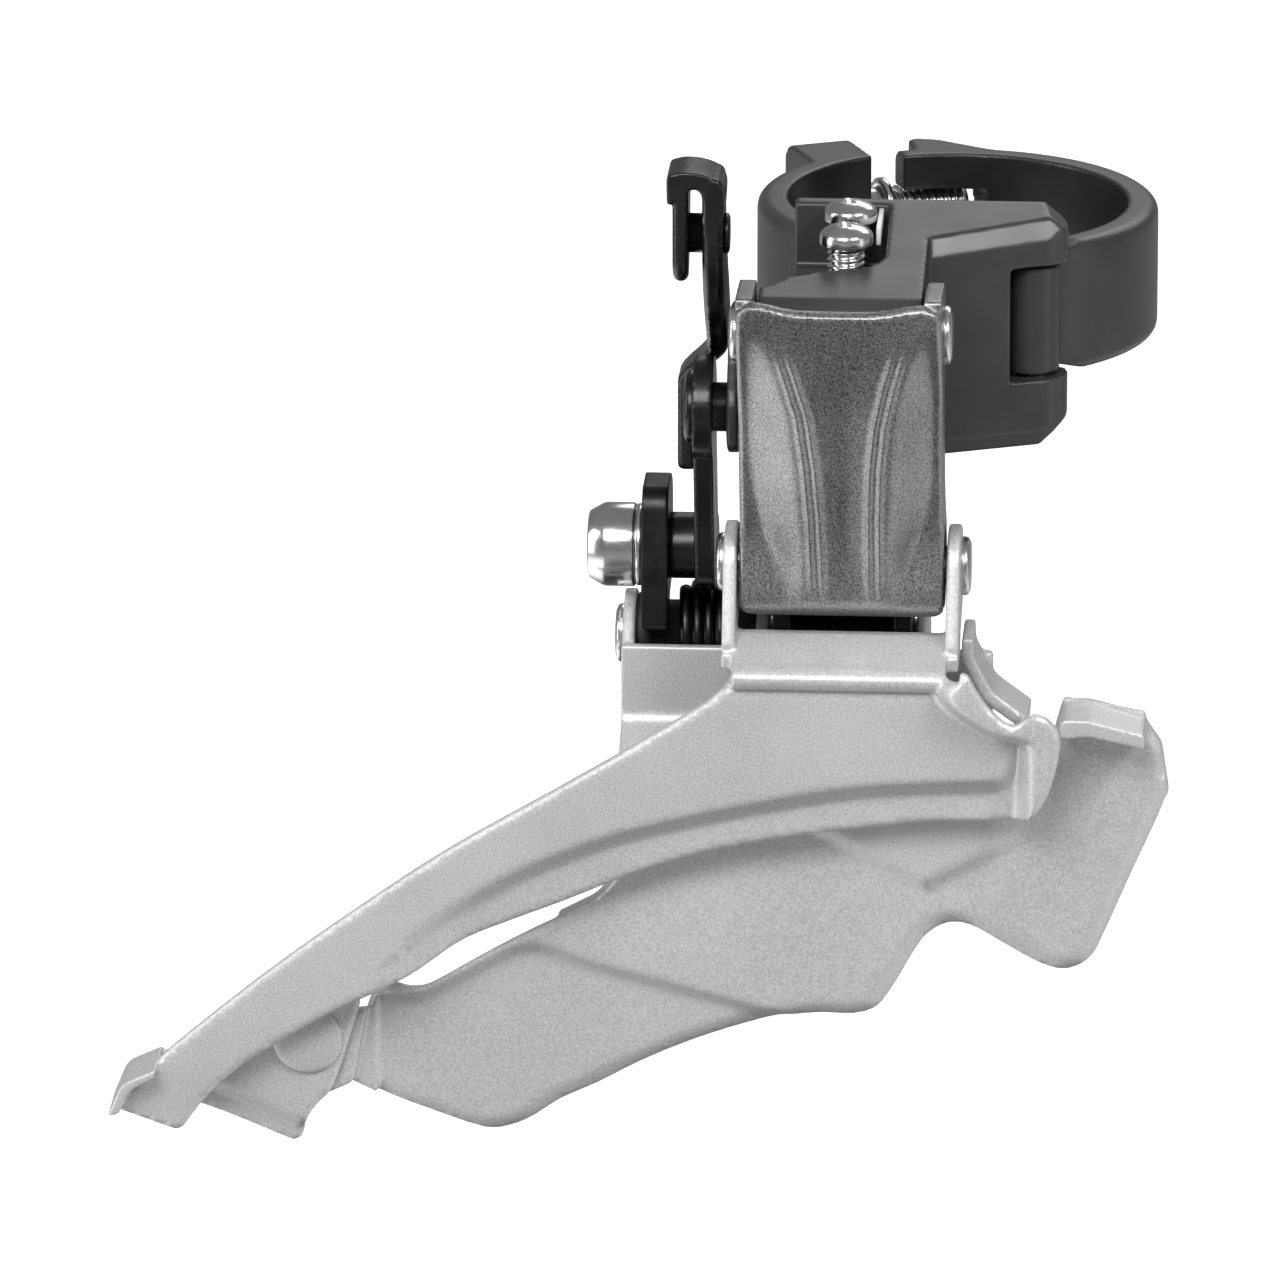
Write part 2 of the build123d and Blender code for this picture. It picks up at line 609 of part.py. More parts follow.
def rivet(x, z, radius, y_range):
    """Round bar along Y."""
    return along_y(disc((x, z), radius), y_range)


def tail_rivet():
    """Flat-headed rivet that joins the two plates at the tail."""
    head = rivet(*TAIL_RIVET, 3.6, (TAIL_Y[0] - 0.7, TAIL_Y[0]))
    head = fillet(head.edges().group_by(Axis.Y)[0], 0.4)
    shank = rivet(*TAIL_RIVET, RIVET_R, (TAIL_Y[0], TONGUE_Y[1]))
    return head + shank + rivet(*TAIL_RIVET, 2.8, (TONGUE_Y[1], TONGUE_Y[1] + 0.8))


def spring_bush():
    bush = rod_x(INNER_BOTTOM, 3.5, (SPRING_EAR_LEFT[1], SPRING_EAR_MIDDLE[0]))
    bush += rod_x(INNER_BOTTOM, 4.2, (SPRING_EAR_LEFT[1], SPRING_EAR_LEFT[1] + 1.5))
    return bush - rod_x(INNER_BOTTOM, PIN_R, (-50.0, 20.0))


def return_spring():
    """Torsion spring round the bush, drawn as its closed coils."""
    coil = Cylinder(5.7, 5.6) - Cylinder(4.4, 10.0)
    return Pos(-24.5, *INNER_BOTTOM) * Rot(0, 90, 0) * coil


SOLIDS = {
    "clamp_body": clamp_body,
    "clamp_band": clamp_band,
    "clamp_hinge_pin": lambda: rod_z(HINGE, HINGE_PIN_R, HINGE_PIN_Z),
    "clamp_bolt": clamp_bolt,
    "bolt_retaining_ring": bolt_retaining_ring,
    "screw_friction_plate": screw_friction_plate,
    "low_limit_screw": lambda: limit_screw(SCREW_Y["low_limit_screw"]),
    "high_limit_screw": lambda: limit_screw(SCREW_Y["high_limit_screw"]),
    "outer_link": outer_link,
    "outer_top_pin": outer_top_pin,
    "inner_link": inner_link,
    "cable_lever": cable_lever,
    "inner_top_pin": inner_top_pin,
    "cable_arm": cable_arm,
    "cable_hook_pin": cable_hook_pin,
    "cable_bolt": cable_bolt,
    "cable_washer": cable_washer,
    "cable_plate": cable_plate,
    "cage_outer_plate": cage_outer_plate,
    "cage_inner_plate": cage_inner_plate,
    "outer_bottom_pin": outer_bottom_pin,
    "inner_bottom_pin": inner_bottom_pin,
    "tail_rivet": tail_rivet,
    "spring_bush": spring_bush,
    "return_spring": return_spring,
}

os.makedirs("parts", exist_ok=True)
for node, build in SOLIDS.items():
    export_step(build(), f"parts/{node}.step")
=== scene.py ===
"""Front derailleur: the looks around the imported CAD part. Lengths are in millimetres until a mesh is made."""

import json
import math

import bmesh
import bpy
import numpy as np
from mathutils import Matrix, Vector
from mathutils.geometry import delaunay_2d_cdt


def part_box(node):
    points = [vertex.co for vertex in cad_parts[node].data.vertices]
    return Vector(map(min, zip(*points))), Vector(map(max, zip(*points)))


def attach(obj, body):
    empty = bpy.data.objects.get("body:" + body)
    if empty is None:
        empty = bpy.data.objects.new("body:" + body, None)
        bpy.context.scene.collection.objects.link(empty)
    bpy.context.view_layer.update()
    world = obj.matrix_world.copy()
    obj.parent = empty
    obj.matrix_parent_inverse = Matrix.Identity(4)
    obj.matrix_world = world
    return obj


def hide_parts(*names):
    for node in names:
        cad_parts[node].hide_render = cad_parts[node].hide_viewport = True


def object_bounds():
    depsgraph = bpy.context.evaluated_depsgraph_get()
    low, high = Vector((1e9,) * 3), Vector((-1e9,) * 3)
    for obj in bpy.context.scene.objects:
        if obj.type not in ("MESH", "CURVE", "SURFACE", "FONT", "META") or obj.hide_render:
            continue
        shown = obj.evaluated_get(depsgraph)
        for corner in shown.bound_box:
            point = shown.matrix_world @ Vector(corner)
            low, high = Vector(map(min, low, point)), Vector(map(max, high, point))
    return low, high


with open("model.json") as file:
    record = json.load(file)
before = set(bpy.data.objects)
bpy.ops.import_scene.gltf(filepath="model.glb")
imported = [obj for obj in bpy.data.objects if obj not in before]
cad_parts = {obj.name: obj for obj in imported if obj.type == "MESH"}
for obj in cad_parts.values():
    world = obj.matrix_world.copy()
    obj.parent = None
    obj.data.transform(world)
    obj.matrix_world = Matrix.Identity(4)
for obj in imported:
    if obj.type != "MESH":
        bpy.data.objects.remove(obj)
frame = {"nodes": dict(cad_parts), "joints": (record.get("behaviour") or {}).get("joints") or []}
cad_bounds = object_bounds()

MM = 0.001
JOINTS = {joint["name"]: joint for joint in frame["joints"]}


def pivot(joint):
    """(Y, Z) of a linkage joint, in millimetres."""
    _, y, z = JOINTS[joint]["pos_m"]
    return y / MM, z / MM


OUTER_TOP = pivot("shift_swing")
OUTER_BOTTOM = pivot("cage_swing")
LINK = (OUTER_BOTTOM[0] - OUTER_TOP[0], OUTER_BOTTOM[1] - OUTER_TOP[1])
LINK_LENGTH = math.hypot(*LINK)


def low(node):
    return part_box(node)[0] / MM


def high(node):
    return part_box(node)[1] / MM


def beside(pin, out, down):
    """(Y, Z) point at a distance outboard of a pin and down along the links."""
    along = (LINK[0] / LINK_LENGTH, LINK[1] / LINK_LENGTH)
    outward = (along[1], -along[0])
    return (pin[0] + outward[0] * out + along[0] * down, pin[1] + outward[1] * out + along[1] * down)


def smooth(t):
    """0 below 0, 1 above 1, and an even turn between."""
    t = np.clip(t, 0.0, 1.0)
    return t * t * (3 - 2 * t)


# --- outlines and curves --------------------------------------------------------------------
def catmull(points, step):
    """Smooth open curve through the points, sampled about every step."""
    points = [np.array(q, float) for q in points]
    if len(points) == 2:
        count = max(1, int(math.dist(*points) / step))
        return [points[0] + (points[1] - points[0]) * i / count for i in range(count + 1)]
    p = [2 * points[0] - points[1]] + points + [2 * points[-1] - points[-2]]
    out = []
    for p0, p1, p2, p3 in zip(p, p[1:], p[2:], p[3:]):
        t1 = math.dist(p0, p1) ** 0.5
        t2 = t1 + math.dist(p1, p2) ** 0.5
        t3 = t2 + math.dist(p2, p3) ** 0.5
        count = max(1, int(math.dist(p1, p2) / step))
        for k in range(count):
            t = t1 + (t2 - t1) * k / count
            a1 = (p0 * (t1 - t) + p1 * t) / t1
            a2 = (p1 * (t2 - t) + p2 * (t - t1)) / (t2 - t1)
            a3 = (p2 * (t3 - t) + p3 * (t - t2)) / (t3 - t2)
            b1 = (a1 * (t2 - t) + a2 * t) / t2
            b2 = (a2 * (t3 - t) + a3 * (t - t1)) / (t3 - t1)
            out.append((b1 * (t2 - t) + b2 * (t - t1)) / (t2 - t1))
    return out + [points[-1]]


def outline(spec, step=0.5):
    """Closed loop: (u, v) is a point of a smooth curve, (u, v, r) a corner rounded over a length r."""
    corners = [i for i, q in enumerate(spec) if len(q) > 2]
    count = len(spec)
    runs = []
    for a, b in zip(corners, corners[1:] + [corners[0] + count]):
        run = catmull([spec[i % count][:2] for i in range(a, b + 1)], step)
        runs.append(trimmed(run, spec[a][2], spec[b % count][2]))
    loop = []
    for index, run in enumerate(runs):
        corner = np.array(spec[corners[index]][:2], float)
        if spec[corners[index]][2]:
            start, end = runs[index - 1][-1], run[0]
            for k in range(1, 6):
                t = k / 6
                loop.append(start * (1 - t) ** 2 + corner * 2 * t * (1 - t) + end * t * t)
        loop += run[:-1] if not spec[corners[(index + 1) % len(corners)]][2] else run
    return [tuple(q) for q in loop]


def trimmed(run, first, last):
    """A run of points with a length cut off each end."""
    for length in (first, last):
        if length:
            run = cut_start(run, length)
        run = run[::-1]
    return run


def cut_start(run, length):
    """A run of points with a length cut off its start."""
    while len(run) > 2 and math.dist(run[0], run[1]) < length:
        length -= math.dist(run[0], run[1])
        run = run[1:]
    whole = math.dist(run[0], run[1])
    share = min(length / whole, 0.98)
    return [run[0] + (run[1] - run[0]) * share] + run[1:]


def to_polyline(points, line):
    """Distance of each (u, v) point to an open polyline, and its sign: positive on the line's right."""
    points, line = np.asarray(points, float), np.asarray(line, float)
    best = np.full(len(points), 1e9)
    sign = np.ones(len(points))
    for a, b in zip(line, line[1:]):
        d = b - a
        t = np.clip(((points - a) @ d) / (d @ d), 0, 1)
        off = points - (a + t[:, None] * d)
        dist = np.hypot(off[:, 0], off[:, 1])
        nearer = dist < best - 1e-9
        cross = d[0] * (points[:, 1] - a[1]) - d[1] * (points[:, 0] - a[0])
        sign = np.where(nearer, np.where(cross > 0, -1.0, 1.0), sign)
        best = np.where(nearer, dist, best)
    return best, sign


def inside(points, loop):
    """Which (u, v) points lie in a closed loop."""
    points, loop = np.asarray(points, float), np.asarray(loop, float)
    found = np.zeros(len(points), bool)
    for a, b in zip(loop, np.roll(loop, -1, axis=0)):
        crosses = (a[1] > points[:, 1]) != (b[1] > points[:, 1])
        rise = b[1] - a[1] if b[1] != a[1] else 1e-12
        found ^= crosses & (points[:, 0] < (b[0] - a[0]) * (points[:, 1] - a[1]) / rise + a[0])
    return found


# --- meshes ---------------------------------------------------------------------------------
TRIANGLE_HEIGHT = 0.866
EDGE_MARGIN = 0.45


def new_mesh(name, verts, faces):
    """Mesh object from points in millimetres."""
    mesh = bpy.data.meshes.new(name)
    mesh.from_pydata([tuple(float(c) * MM for c in v) for v in verts], [], faces)
    obj = bpy.data.objects.new(name, mesh)
    bpy.context.scene.collection.objects.link(obj)
    tidy_normals(obj)
    return obj


def tidy_normals(obj):
    """Join double points, turn the faces outward and shade them smooth."""
    bm = bmesh.new()
    bm.from_mesh(obj.data)
    bmesh.ops.remove_doubles(bm, verts=bm.verts, dist=1e-7)
    bmesh.ops.recalc_face_normals(bm, faces=bm.faces)
    bm.to_mesh(obj.data)
    bm.free()
    obj.data.shade_smooth()


def sheet_shell(name, loop, front, thickness, place, grid, roll):
    """Closed shell of a pressed sheet: its outline, the depth of its front and its rounded edges.

    front(points) gives the depth of each (u, v) point, and place(u, v, depth) puts it in space.
    """
    count = len(loop)
    edges = [(i, (i + 1) % count) for i in range(count)]
    us = np.arange(min(q[0] for q in loop), max(q[0] for q in loop), grid)
    vs = np.arange(min(q[1] for q in loop), max(q[1] for q in loop), grid * TRIANGLE_HEIGHT)
    cells = np.array([(u + (row % 2) * grid / 2, v) for row, v in enumerate(vs) for u in us])
    cells = cells[inside(cells, loop)]
    cells = cells[edge_distance(cells, loop) > grid * EDGE_MARGIN]
    points = [Vector(q) for q in loop] + [Vector(q) for q in cells]
    flat, _, tris, _, _, _ = delaunay_2d_cdt(points, edges, [], 1, 1e-5)
    flat = np.array([tuple(q) for q in flat])
    fall = np.clip(roll - edge_distance(flat, loop), 0, roll)
    rolled = roll - np.sqrt(np.maximum(roll * roll - fall * fall, 0))
    depth = front(flat)
    face_a = [place(u, v, d + r) for (u, v), d, r in zip(flat, depth, rolled)]
    face_b = [place(u, v, d + thickness - r) for (u, v), d, r in zip(flat, depth, rolled)]
    count = len(flat)
    faces = [tuple(t) for t in tris] + [tuple(count + i for i in reversed(t)) for t in tris]
    used = {}
    for t in tris:
        for a, b in zip(t, t[1:] + t[:1]):
            used[(a, b)] = used.get((a, b), 0) + 1
    for a, b in list(used):
        if (b, a) not in used:
            faces.append((b, a, count + a, count + b))
    return new_mesh(name, face_a + face_b, faces)


def edge_distance(points, loop):
    """Distance of each (u, v) point to a closed loop."""
    distance, _ = to_polyline(points, list(loop) + [loop[0]])
    return distance


def prism(name, loop, place, start, end):
    """Closed prism of a (u, v) loop between two depths."""
    count = len(loop)
    verts = [place(u, v, start) for u, v in loop] + [place(u, v, end) for u, v in loop]
    faces = [tuple(range(count)), tuple(range(2 * count - 1, count - 1, -1))]
    faces += [(i, (i + 1) % count, count + (i + 1) % count, count + i) for i in range(count)]
    obj = new_mesh(name, verts, faces)
    bm = bmesh.new()
    bm.from_mesh(obj.data)
    bmesh.ops.triangulate(bm, faces=bm.faces)
    bm.to_mesh(obj.data)
    bm.free()
    return obj


def on_xz(u, v, depth):
    return (u, depth, v)


def on_yz(u, v, depth):
    return (depth, u, v)


def turned(name, profile, origin, axis, segments=56):
    """Closed solid of revolution: profile is (radius, distance along axis), from axis to axis."""
    axis = Vector(axis).normalized()
    turn = Vector((0, 0, 1)).rotation_difference(axis).to_matrix()
    origin = Vector(origin)
    verts, rows = [], []
    for radius, along in profile:
        if radius < 1e-6:
            rows.append([len(verts)])
            verts.append(origin + turn @ Vector((0, 0, along)))
            continue
        row = []
        for k in range(segments):
            angle = 2 * math.pi * k / segments
            row.append(len(verts))
            verts.append(origin + turn @ Vector((radius * math.cos(angle), radius * math.sin(angle), along)))
        rows.append(row)
    faces = []
    for a, b in zip(rows, rows[1:] + rows[:1]):
        if len(a) == 1 and len(b) == 1:
            continue
        for k in range(segments):
            n = (k + 1) % segments
            if len(a) == 1:
                faces.append((a[0], b[n], b[k]))
            elif len(b) == 1:
                faces.append((a[k], a[n], b[0]))
            else:
                faces.append((a[k], a[n], b[n], b[k]))
    return new_mesh(name, verts, faces)


def rounded_profile(radius, start, end, edge):
    """Profile of a plain round bar with both rims rounded."""
    arc = 4
    profile = [(0, start)]
    for k in range(arc + 1):
        turn = math.pi / 2 * k / arc
        profile.append((radius - edge + edge * math.sin(turn), start + edge - edge * math.cos(turn)))
    for k in range(arc + 1):
        turn = math.pi / 2 * k / arc
        profile.append((radius - edge + edge * math.cos(turn), end - edge + edge * math.sin(turn)))
    return profile + [(0, end)]


def threaded(name, radius, depth, pitch, start, end, origin, axis, segments=40, rows=10):
    """Rod with a helical thread whose ends run out."""
    axis = Vector(axis).normalized()
    turn = Vector((0, 0, 1)).rotation_difference(axis).to_matrix()
    origin = Vector(origin)
    count = int((end - start) / pitch * rows)
    verts, faces = [], []
    for j in range(count + 1):
        along = start + (end - start) * j / count
        ease = min(1.0, (along - start) / (0.8 * pitch), (end - along) / (0.8 * pitch))
        for k in range(segments):
            angle = 2 * math.pi * k / segments
            phase = (along / pitch - k / segments) % 1.0
            crest = min(1.0, max(0.0, 2.2 * abs(phase - 0.5) - 0.1))
            r = radius - depth * (1 - crest * max(ease, 0.0))
            verts.append(origin + turn @ Vector((r * math.cos(angle), r * math.sin(angle), along)))
    for j in range(count):
        for k in range(segments):
            n = (k + 1) % segments
            base = j * segments
            faces.append((base + k, base + n, base + segments + n, base + segments + k))
    faces.append(tuple(range(segments - 1, -1, -1)))
    faces.append(tuple(count * segments + k for k in range(segments)))
    return new_mesh(name, verts, faces)


def swept(name, path, radius, segments=14):
    """Round wire along a list of points, closed at both ends."""
    path = [Vector(q) for q in path]
    normal = Vector((0, 0, 1))
    verts, faces = [], []
    for i, point in enumerate(path):
        ahead = (path[min(i + 1, len(path) - 1)] - path[max(i - 1, 0)]).normalized()
        normal = (normal - ahead * normal.dot(ahead)).normalized()
        side = ahead.cross(normal)
        for k in range(segments):
            angle = 2 * math.pi * k / segments
            verts.append(point + (normal * math.cos(angle) + side * math.sin(angle)) * radius)
    for i in range(len(path) - 1):
        for k in range(segments):
            n = (k + 1) % segments
            base = i * segments
            faces.append((base + k, base + n, base + segments + n, base + segments + k))
    faces.append(tuple(range(segments - 1, -1, -1)))
    faces.append(tuple((len(path) - 1) * segments + k for k in range(segments)))
    return new_mesh(name, verts, faces)


def cad_copy(node, name):
    """Copy of a CAD node's mesh, as a start for a finer piece."""
    obj = bpy.data.objects.new(name, frame["nodes"][node].data.copy())
    obj.data.name = name
    obj.data.materials.clear()
    bpy.context.scene.collection.objects.link(obj)
    tidy_normals(obj)
    return obj


def joined(name, *objects):
    """One object from several."""
    bm = bmesh.new()
    for obj in objects:
        bm.from_mesh(obj.data)
    mesh = bpy.data.meshes.new(name)
    bm.to_mesh(mesh)
    bm.free()
    for obj in objects:
        bpy.data.objects.remove(obj)
    out = bpy.data.objects.new(name, mesh)
    bpy.context.scene.collection.objects.link(out)
    out.data.shade_smooth()
    return out


def with_modifiers(obj):
    """Apply obj's modifiers."""
    bpy.context.view_layer.update()
    graph = bpy.context.evaluated_depsgraph_get()
    mesh = bpy.data.meshes.new_from_object(obj.evaluated_get(graph))
    obj.modifiers.clear()
    obj.data = mesh


def cut(obj, *cutters):
    """Take the cutters out of obj, and remove them."""
    for cutter in cutters:
        step = obj.modifiers.new("cut", "BOOLEAN")
        step.operation = "DIFFERENCE"
        step.solver = "EXACT"
        step.object = cutter
        with_modifiers(obj)
        bpy.data.objects.remove(cutter)


def fused(obj, voxel, rounds):
    """obj's shells as one skin, with every edge softened as on a casting or a pressed sheet."""
    remesh = obj.modifiers.new("skin", "REMESH")
    remesh.mode = "VOXEL"
    remesh.voxel_size = voxel * MM
    soften = obj.modifiers.new("soften", "SMOOTH")
    soften.factor = 0.5
    soften.iterations = rounds
    with_modifiers(obj)
    obj.data.shade_smooth()
    return obj


def bevelled(obj, width, angle=35.0):
    """Round the edges of obj that turn more than an angle."""
    step = obj.modifiers.new("round", "BEVEL")
    step.width = width * MM
    step.segments = 2
    step.limit_method = "ANGLE"
    step.angle_limit = math.radians(angle)
    with_modifiers(obj)


def dress(obj, body, slot, material, *nodes):
    """Material, body and CAD nodes of a finished piece."""
    obj.data.materials.clear()
    obj.data.materials.append(material)
    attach(obj, body)
    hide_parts(*nodes)


# --- materials ------------------------------------------------------------------------------
def add_ramp(tree, value, stops):
    """Colour ramp on a socket: each stop is a position and a colour or a grey."""
    node = tree.nodes.new("ShaderNodeValToRGB")
    marks = node.color_ramp.elements
    while len(marks) < len(stops):
        marks.new(0.5)
    for mark, (position, colour) in zip(marks, stops):
        mark.position = position
        mark.color = (*colour, 1.0) if hasattr(colour, "__len__") else (colour, colour, colour, 1.0)
    tree.links.new(value, node.inputs["Fac"])
    return node.outputs["Color"]


class Shader:
    """A Principled material whose colour, roughness and bump come from noise in object space."""

    def __init__(self, name, metallic):
        self.material = bpy.data.materials.new(name)
        self.material.use_nodes = True
        self.tree = self.material.node_tree
        self.bsdf = self.tree.nodes["Principled BSDF"]
        self.bsdf.inputs["Metallic"].default_value = metallic
        self.place = self.tree.nodes.new("ShaderNodeTexCoord").outputs["Object"]

    def noise(self, size, detail):
        """Noise whose features are about size across, in millimetres."""
        node = self.tree.nodes.new("ShaderNodeTexNoise")
        node.inputs["Scale"].default_value = 1 / (size * MM)
        node.inputs["Detail"].default_value = detail
        self.tree.links.new(self.place, node.inputs["Vector"])
        return node.outputs["Fac"]

    def ramp(self, value, stops):
        return add_ramp(self.tree, value, stops)

    def beyond_radius(self, start, end):
        """0 nearer the clamp's axis than start, 1 beyond end, in millimetres."""
        flat = self.tree.nodes.new("ShaderNodeVectorMath")
        flat.operation = "MULTIPLY"
        flat.inputs[1].default_value = (1.0, 1.0, 0.0)
        self.tree.links.new(self.place, flat.inputs[0])
        reach = self.tree.nodes.new("ShaderNodeVectorMath")
        reach.operation = "LENGTH"
        self.tree.links.new(flat.outputs["Vector"], reach.inputs[0])
        step = self.tree.nodes.new("ShaderNodeMapRange")
        step.inputs["From Min"].default_value = start * MM
        step.inputs["From Max"].default_value = end * MM
        self.tree.links.new(reach.outputs["Value"], step.inputs["Value"])
        return step.outputs["Result"]

    def mixed(self, a, b, share):
        """Colour a turning into b by a share, which is a number or a socket."""
        node = self.tree.nodes.new("ShaderNodeMix")
        node.data_type = "RGBA"
        if isinstance(share, float):
            node.inputs["Factor"].default_value = share
        else:
            self.tree.links.new(share, node.inputs["Factor"])
        self.tree.links.new(a, node.inputs["A"])
        self.tree.links.new(b, node.inputs["B"])
        return node.outputs["Result"]

    def colour(self, value):
        self.tree.links.new(value, self.bsdf.inputs["Base Color"])

    def roughness(self, value):
        self.tree.links.new(value, self.bsdf.inputs["Roughness"])

    def bump(self, value, height):
        """Bump of a height in millimetres."""
        node = self.tree.nodes.new("ShaderNodeBump")
        node.inputs["Distance"].default_value = height * MM
        self.tree.links.new(value, node.inputs["Height"])
        self.tree.links.new(node.outputs["Normal"], self.bsdf.inputs["Normal"])


def grained_paint(name, dark, light, grain, metallic, rough, bump):
    """Metallic paint: fine flakes over a faint cloudiness."""
    shader = Shader(name, metallic)
    flakes = shader.noise(grain, 1.0)
    clouds = shader.noise(14.0, 2.0)
    colour = shader.mixed(shader.ramp(flakes, [(0.3, dark), (0.7, light)]),
                          shader.ramp(clouds, [(0.3, dark), (0.7, light)]), 0.25)
    shader.colour(colour)
    shader.roughness(shader.ramp(flakes, [(0.3, rough[0]), (0.7, rough[1])]))
    shader.bump(flakes, bump)
    return shader.material


def satin_black(name, dark, light, rough, bump, grain=0.35):
    """Satin or glossy black coating with a fine orange peel."""
    shader = Shader(name, 0.0)
    peel = shader.noise(grain, 3.0)
    clouds = shader.noise(5.0, 3.0)
    shader.colour(shader.ramp(clouds, [(0.35, dark), (0.65, light)]))
    shader.roughness(shader.ramp(clouds, [(0.3, rough[0]), (0.7, rough[1])]))
    shader.bump(peel, bump)
    return shader.material


# Radii in millimetres over which the painted shade in the clamp's bore fades into the paint
BORE_SHADE_START, BORE_SHADE_END = 17.35, 17.8


def clamp_black(name):
    """Satin black paint, with painted shade that darkens the bore of the clamp."""
    shader = Shader(name, 0.0)
    peel = shader.noise(0.35, 3.0)
    clouds = shader.noise(5.0, 3.0)
    paint = shader.ramp(clouds, [(0.35, 0.035), (0.65, 0.043)])
    # Painted shade: near-black colour inside the bore, standing in for the shade that falls there
    bore_shade = shader.ramp(clouds, [(0.35, 0.003), (0.65, 0.006)])
    shader.colour(shader.mixed(bore_shade, paint, shader.beyond_radius(BORE_SHADE_START, BORE_SHADE_END)))
    shader.roughness(shader.ramp(clouds, [(0.3, 0.31), (0.7, 0.37)]))
    shader.bump(peel, 0.004)
    return shader.material


def plated(name, dark, light, rough):
    """Plated steel with a faint grain."""
    shader = Shader(name, 1.0)
    marks = shader.noise(0.6, 2.0)
    clouds = shader.noise(2.5, 2.0)
    shader.colour(shader.ramp(clouds, [(0.3, dark), (0.7, light)]))
    shader.roughness(shader.ramp(marks, [(0.3, rough[0]), (0.7, rough[1])]))
    shader.bump(marks, 0.004)
    return shader.material


CLAMP_BLACK = clamp_black("clamp_black")
LEVER_BLACK = satin_black("lever_black", 0.004, 0.008, (0.22, 0.34), 0.012, 0.8)
BUSH_BLACK = satin_black("bush_black", 0.012, 0.018, (0.5, 0.6), 0.01)
NYLON = satin_black("nylon", 0.72, 0.8, (0.4, 0.5), 0.005)
CAGE_SILVER = grained_paint("cage_silver", 0.50, 0.74, 0.22, 0.4, (0.38, 0.48), 0.012)
LINK_GREY = grained_paint("link_grey", 0.10, 0.46, 0.2, 0.85, (0.32, 0.44), 0.018)
PLATE_GREY = plated("plate_grey", (0.03, 0.03, 0.03), (0.045, 0.045, 0.045), (0.35, 0.45))
BOLT_ZINC = plated("bolt_zinc", (0.62, 0.62, 0.61), (0.76, 0.76, 0.75), (0.16, 0.24))
PIN_STEEL = plated("pin_steel", (0.62, 0.62, 0.62), (0.74, 0.73, 0.72), (0.2, 0.3))
SPRING_STEEL = plated("spring_steel", (0.02, 0.02, 0.02), (0.035, 0.035, 0.035), (0.25, 0.4))


# --- stage ----------------------------------------------------------------------------------
AZIMUTH, ELEVATION = 3.5, 17.2
DISTANCE = 1500.0
TARGET = (-31.76, -15.48, -36.65)
LENS = 410.9
FLOOR_DROP = 70.0
FLOOR_REACH = 6000.0


def camera():
    az, el = math.radians(AZIMUTH), math.radians(ELEVATION)
    back = Vector((math.sin(az) * math.cos(el), -math.cos(az) * math.cos(el), math.sin(el)))
    data = bpy.data.cameras.new("camera")
    data.lens = LENS
    data.sensor_width = 36.0
    data.clip_end = 20.0
    obj = bpy.data.objects.new("camera", data)
    obj.location = (Vector(TARGET) + back * DISTANCE) * MM
    obj.rotation_euler = back.to_track_quat("Z", "Y").to_euler()
    bpy.context.scene.collection.objects.link(obj)
    bpy.context.scene.camera = obj


LIGHTS = (
    ("key", (-0.3, -1.05, 0.85), (0.7, 0.5), 12.0),
    ("high_right", (0.66, -0.72, 0.86), (0.45, 0.25), 7.5),
    ("left", (-1.3, -0.35, 0.2), (0.5, 1.2), 8.0),
    ("right", (1.3, -0.5, 0.1), (0.4, 1.2), 1.5),
    ("rim", (0.3, 1.0, 0.7), (0.9, 0.5), 3.0))


def area_light(name, place, size, power):
    """Soft lamp of a size and place in metres, aimed at the camera's target."""
    data = bpy.data.lights.new(name, "AREA")
    data.shape = "RECTANGLE"
    data.size, data.size_y = size
    data.energy = power
    obj = bpy.data.objects.new(name, data)
    obj.location = place
    aim = Vector(TARGET) * MM
    obj.rotation_euler = (Vector(place) - aim).to_track_quat("Z", "Y").to_euler()
    bpy.context.scene.collection.objects.link(obj)


def studio():
    """World with a dim front, brighter panels low on both sides, and little light from straight below."""
    world = bpy.data.worlds.new("studio")
    world.use_nodes = True
    tree = world.node_tree
    back = tree.nodes["Background"]
    place = tree.nodes.new("ShaderNodeTexCoord").outputs["Generated"]
    axes = tree.nodes.new("ShaderNodeSeparateXYZ")
    tree.links.new(place, axes.inputs["Vector"])

    def ramp(value, stops):
        """Greys along one part of the direction, from -1 to 1."""
        span = tree.nodes.new("ShaderNodeMapRange")
        span.inputs["From Min"].default_value = -1.0
        tree.links.new(value, span.inputs["Value"])
        return add_ramp(tree, span.outputs["Result"], stops)

    def combine(operation, a, b):
        node = tree.nodes.new("ShaderNodeMix")
        node.data_type = "RGBA"
        node.blend_type = operation
        node.inputs["Factor"].default_value = 1.0
        tree.links.new(a, node.inputs["A"])
        tree.links.new(b, node.inputs["B"])
        return node.outputs["Result"]

    sky = ramp(axes.outputs["Z"], [(0.0, 0.05), (0.10, 0.12), (0.24, 0.28), (0.30, 0.5), (0.42, 0.45),
                                   (0.5, 0.3), (0.68, 0.25), (1.0, 0.3)])
    low_band = ramp(axes.outputs["Z"], [(0.0, 0.2), (0.05, 1.0), (0.22, 1.0), (0.34, 0.0)])
    sides = ramp(axes.outputs["X"], [(0.0, 1.0), (0.24, 1.0), (0.38, 0.0), (0.62, 0.0), (0.76, 0.55),
                                     (1.0, 0.3)])
    panels = combine("MULTIPLY", low_band, sides)
    panels = combine("ADD", panels, panels)
    tree.links.new(combine("ADD", sky, panels), back.inputs["Color"])
    back.inputs["Strength"].default_value = 0.8
    bpy.context.scene.world = world


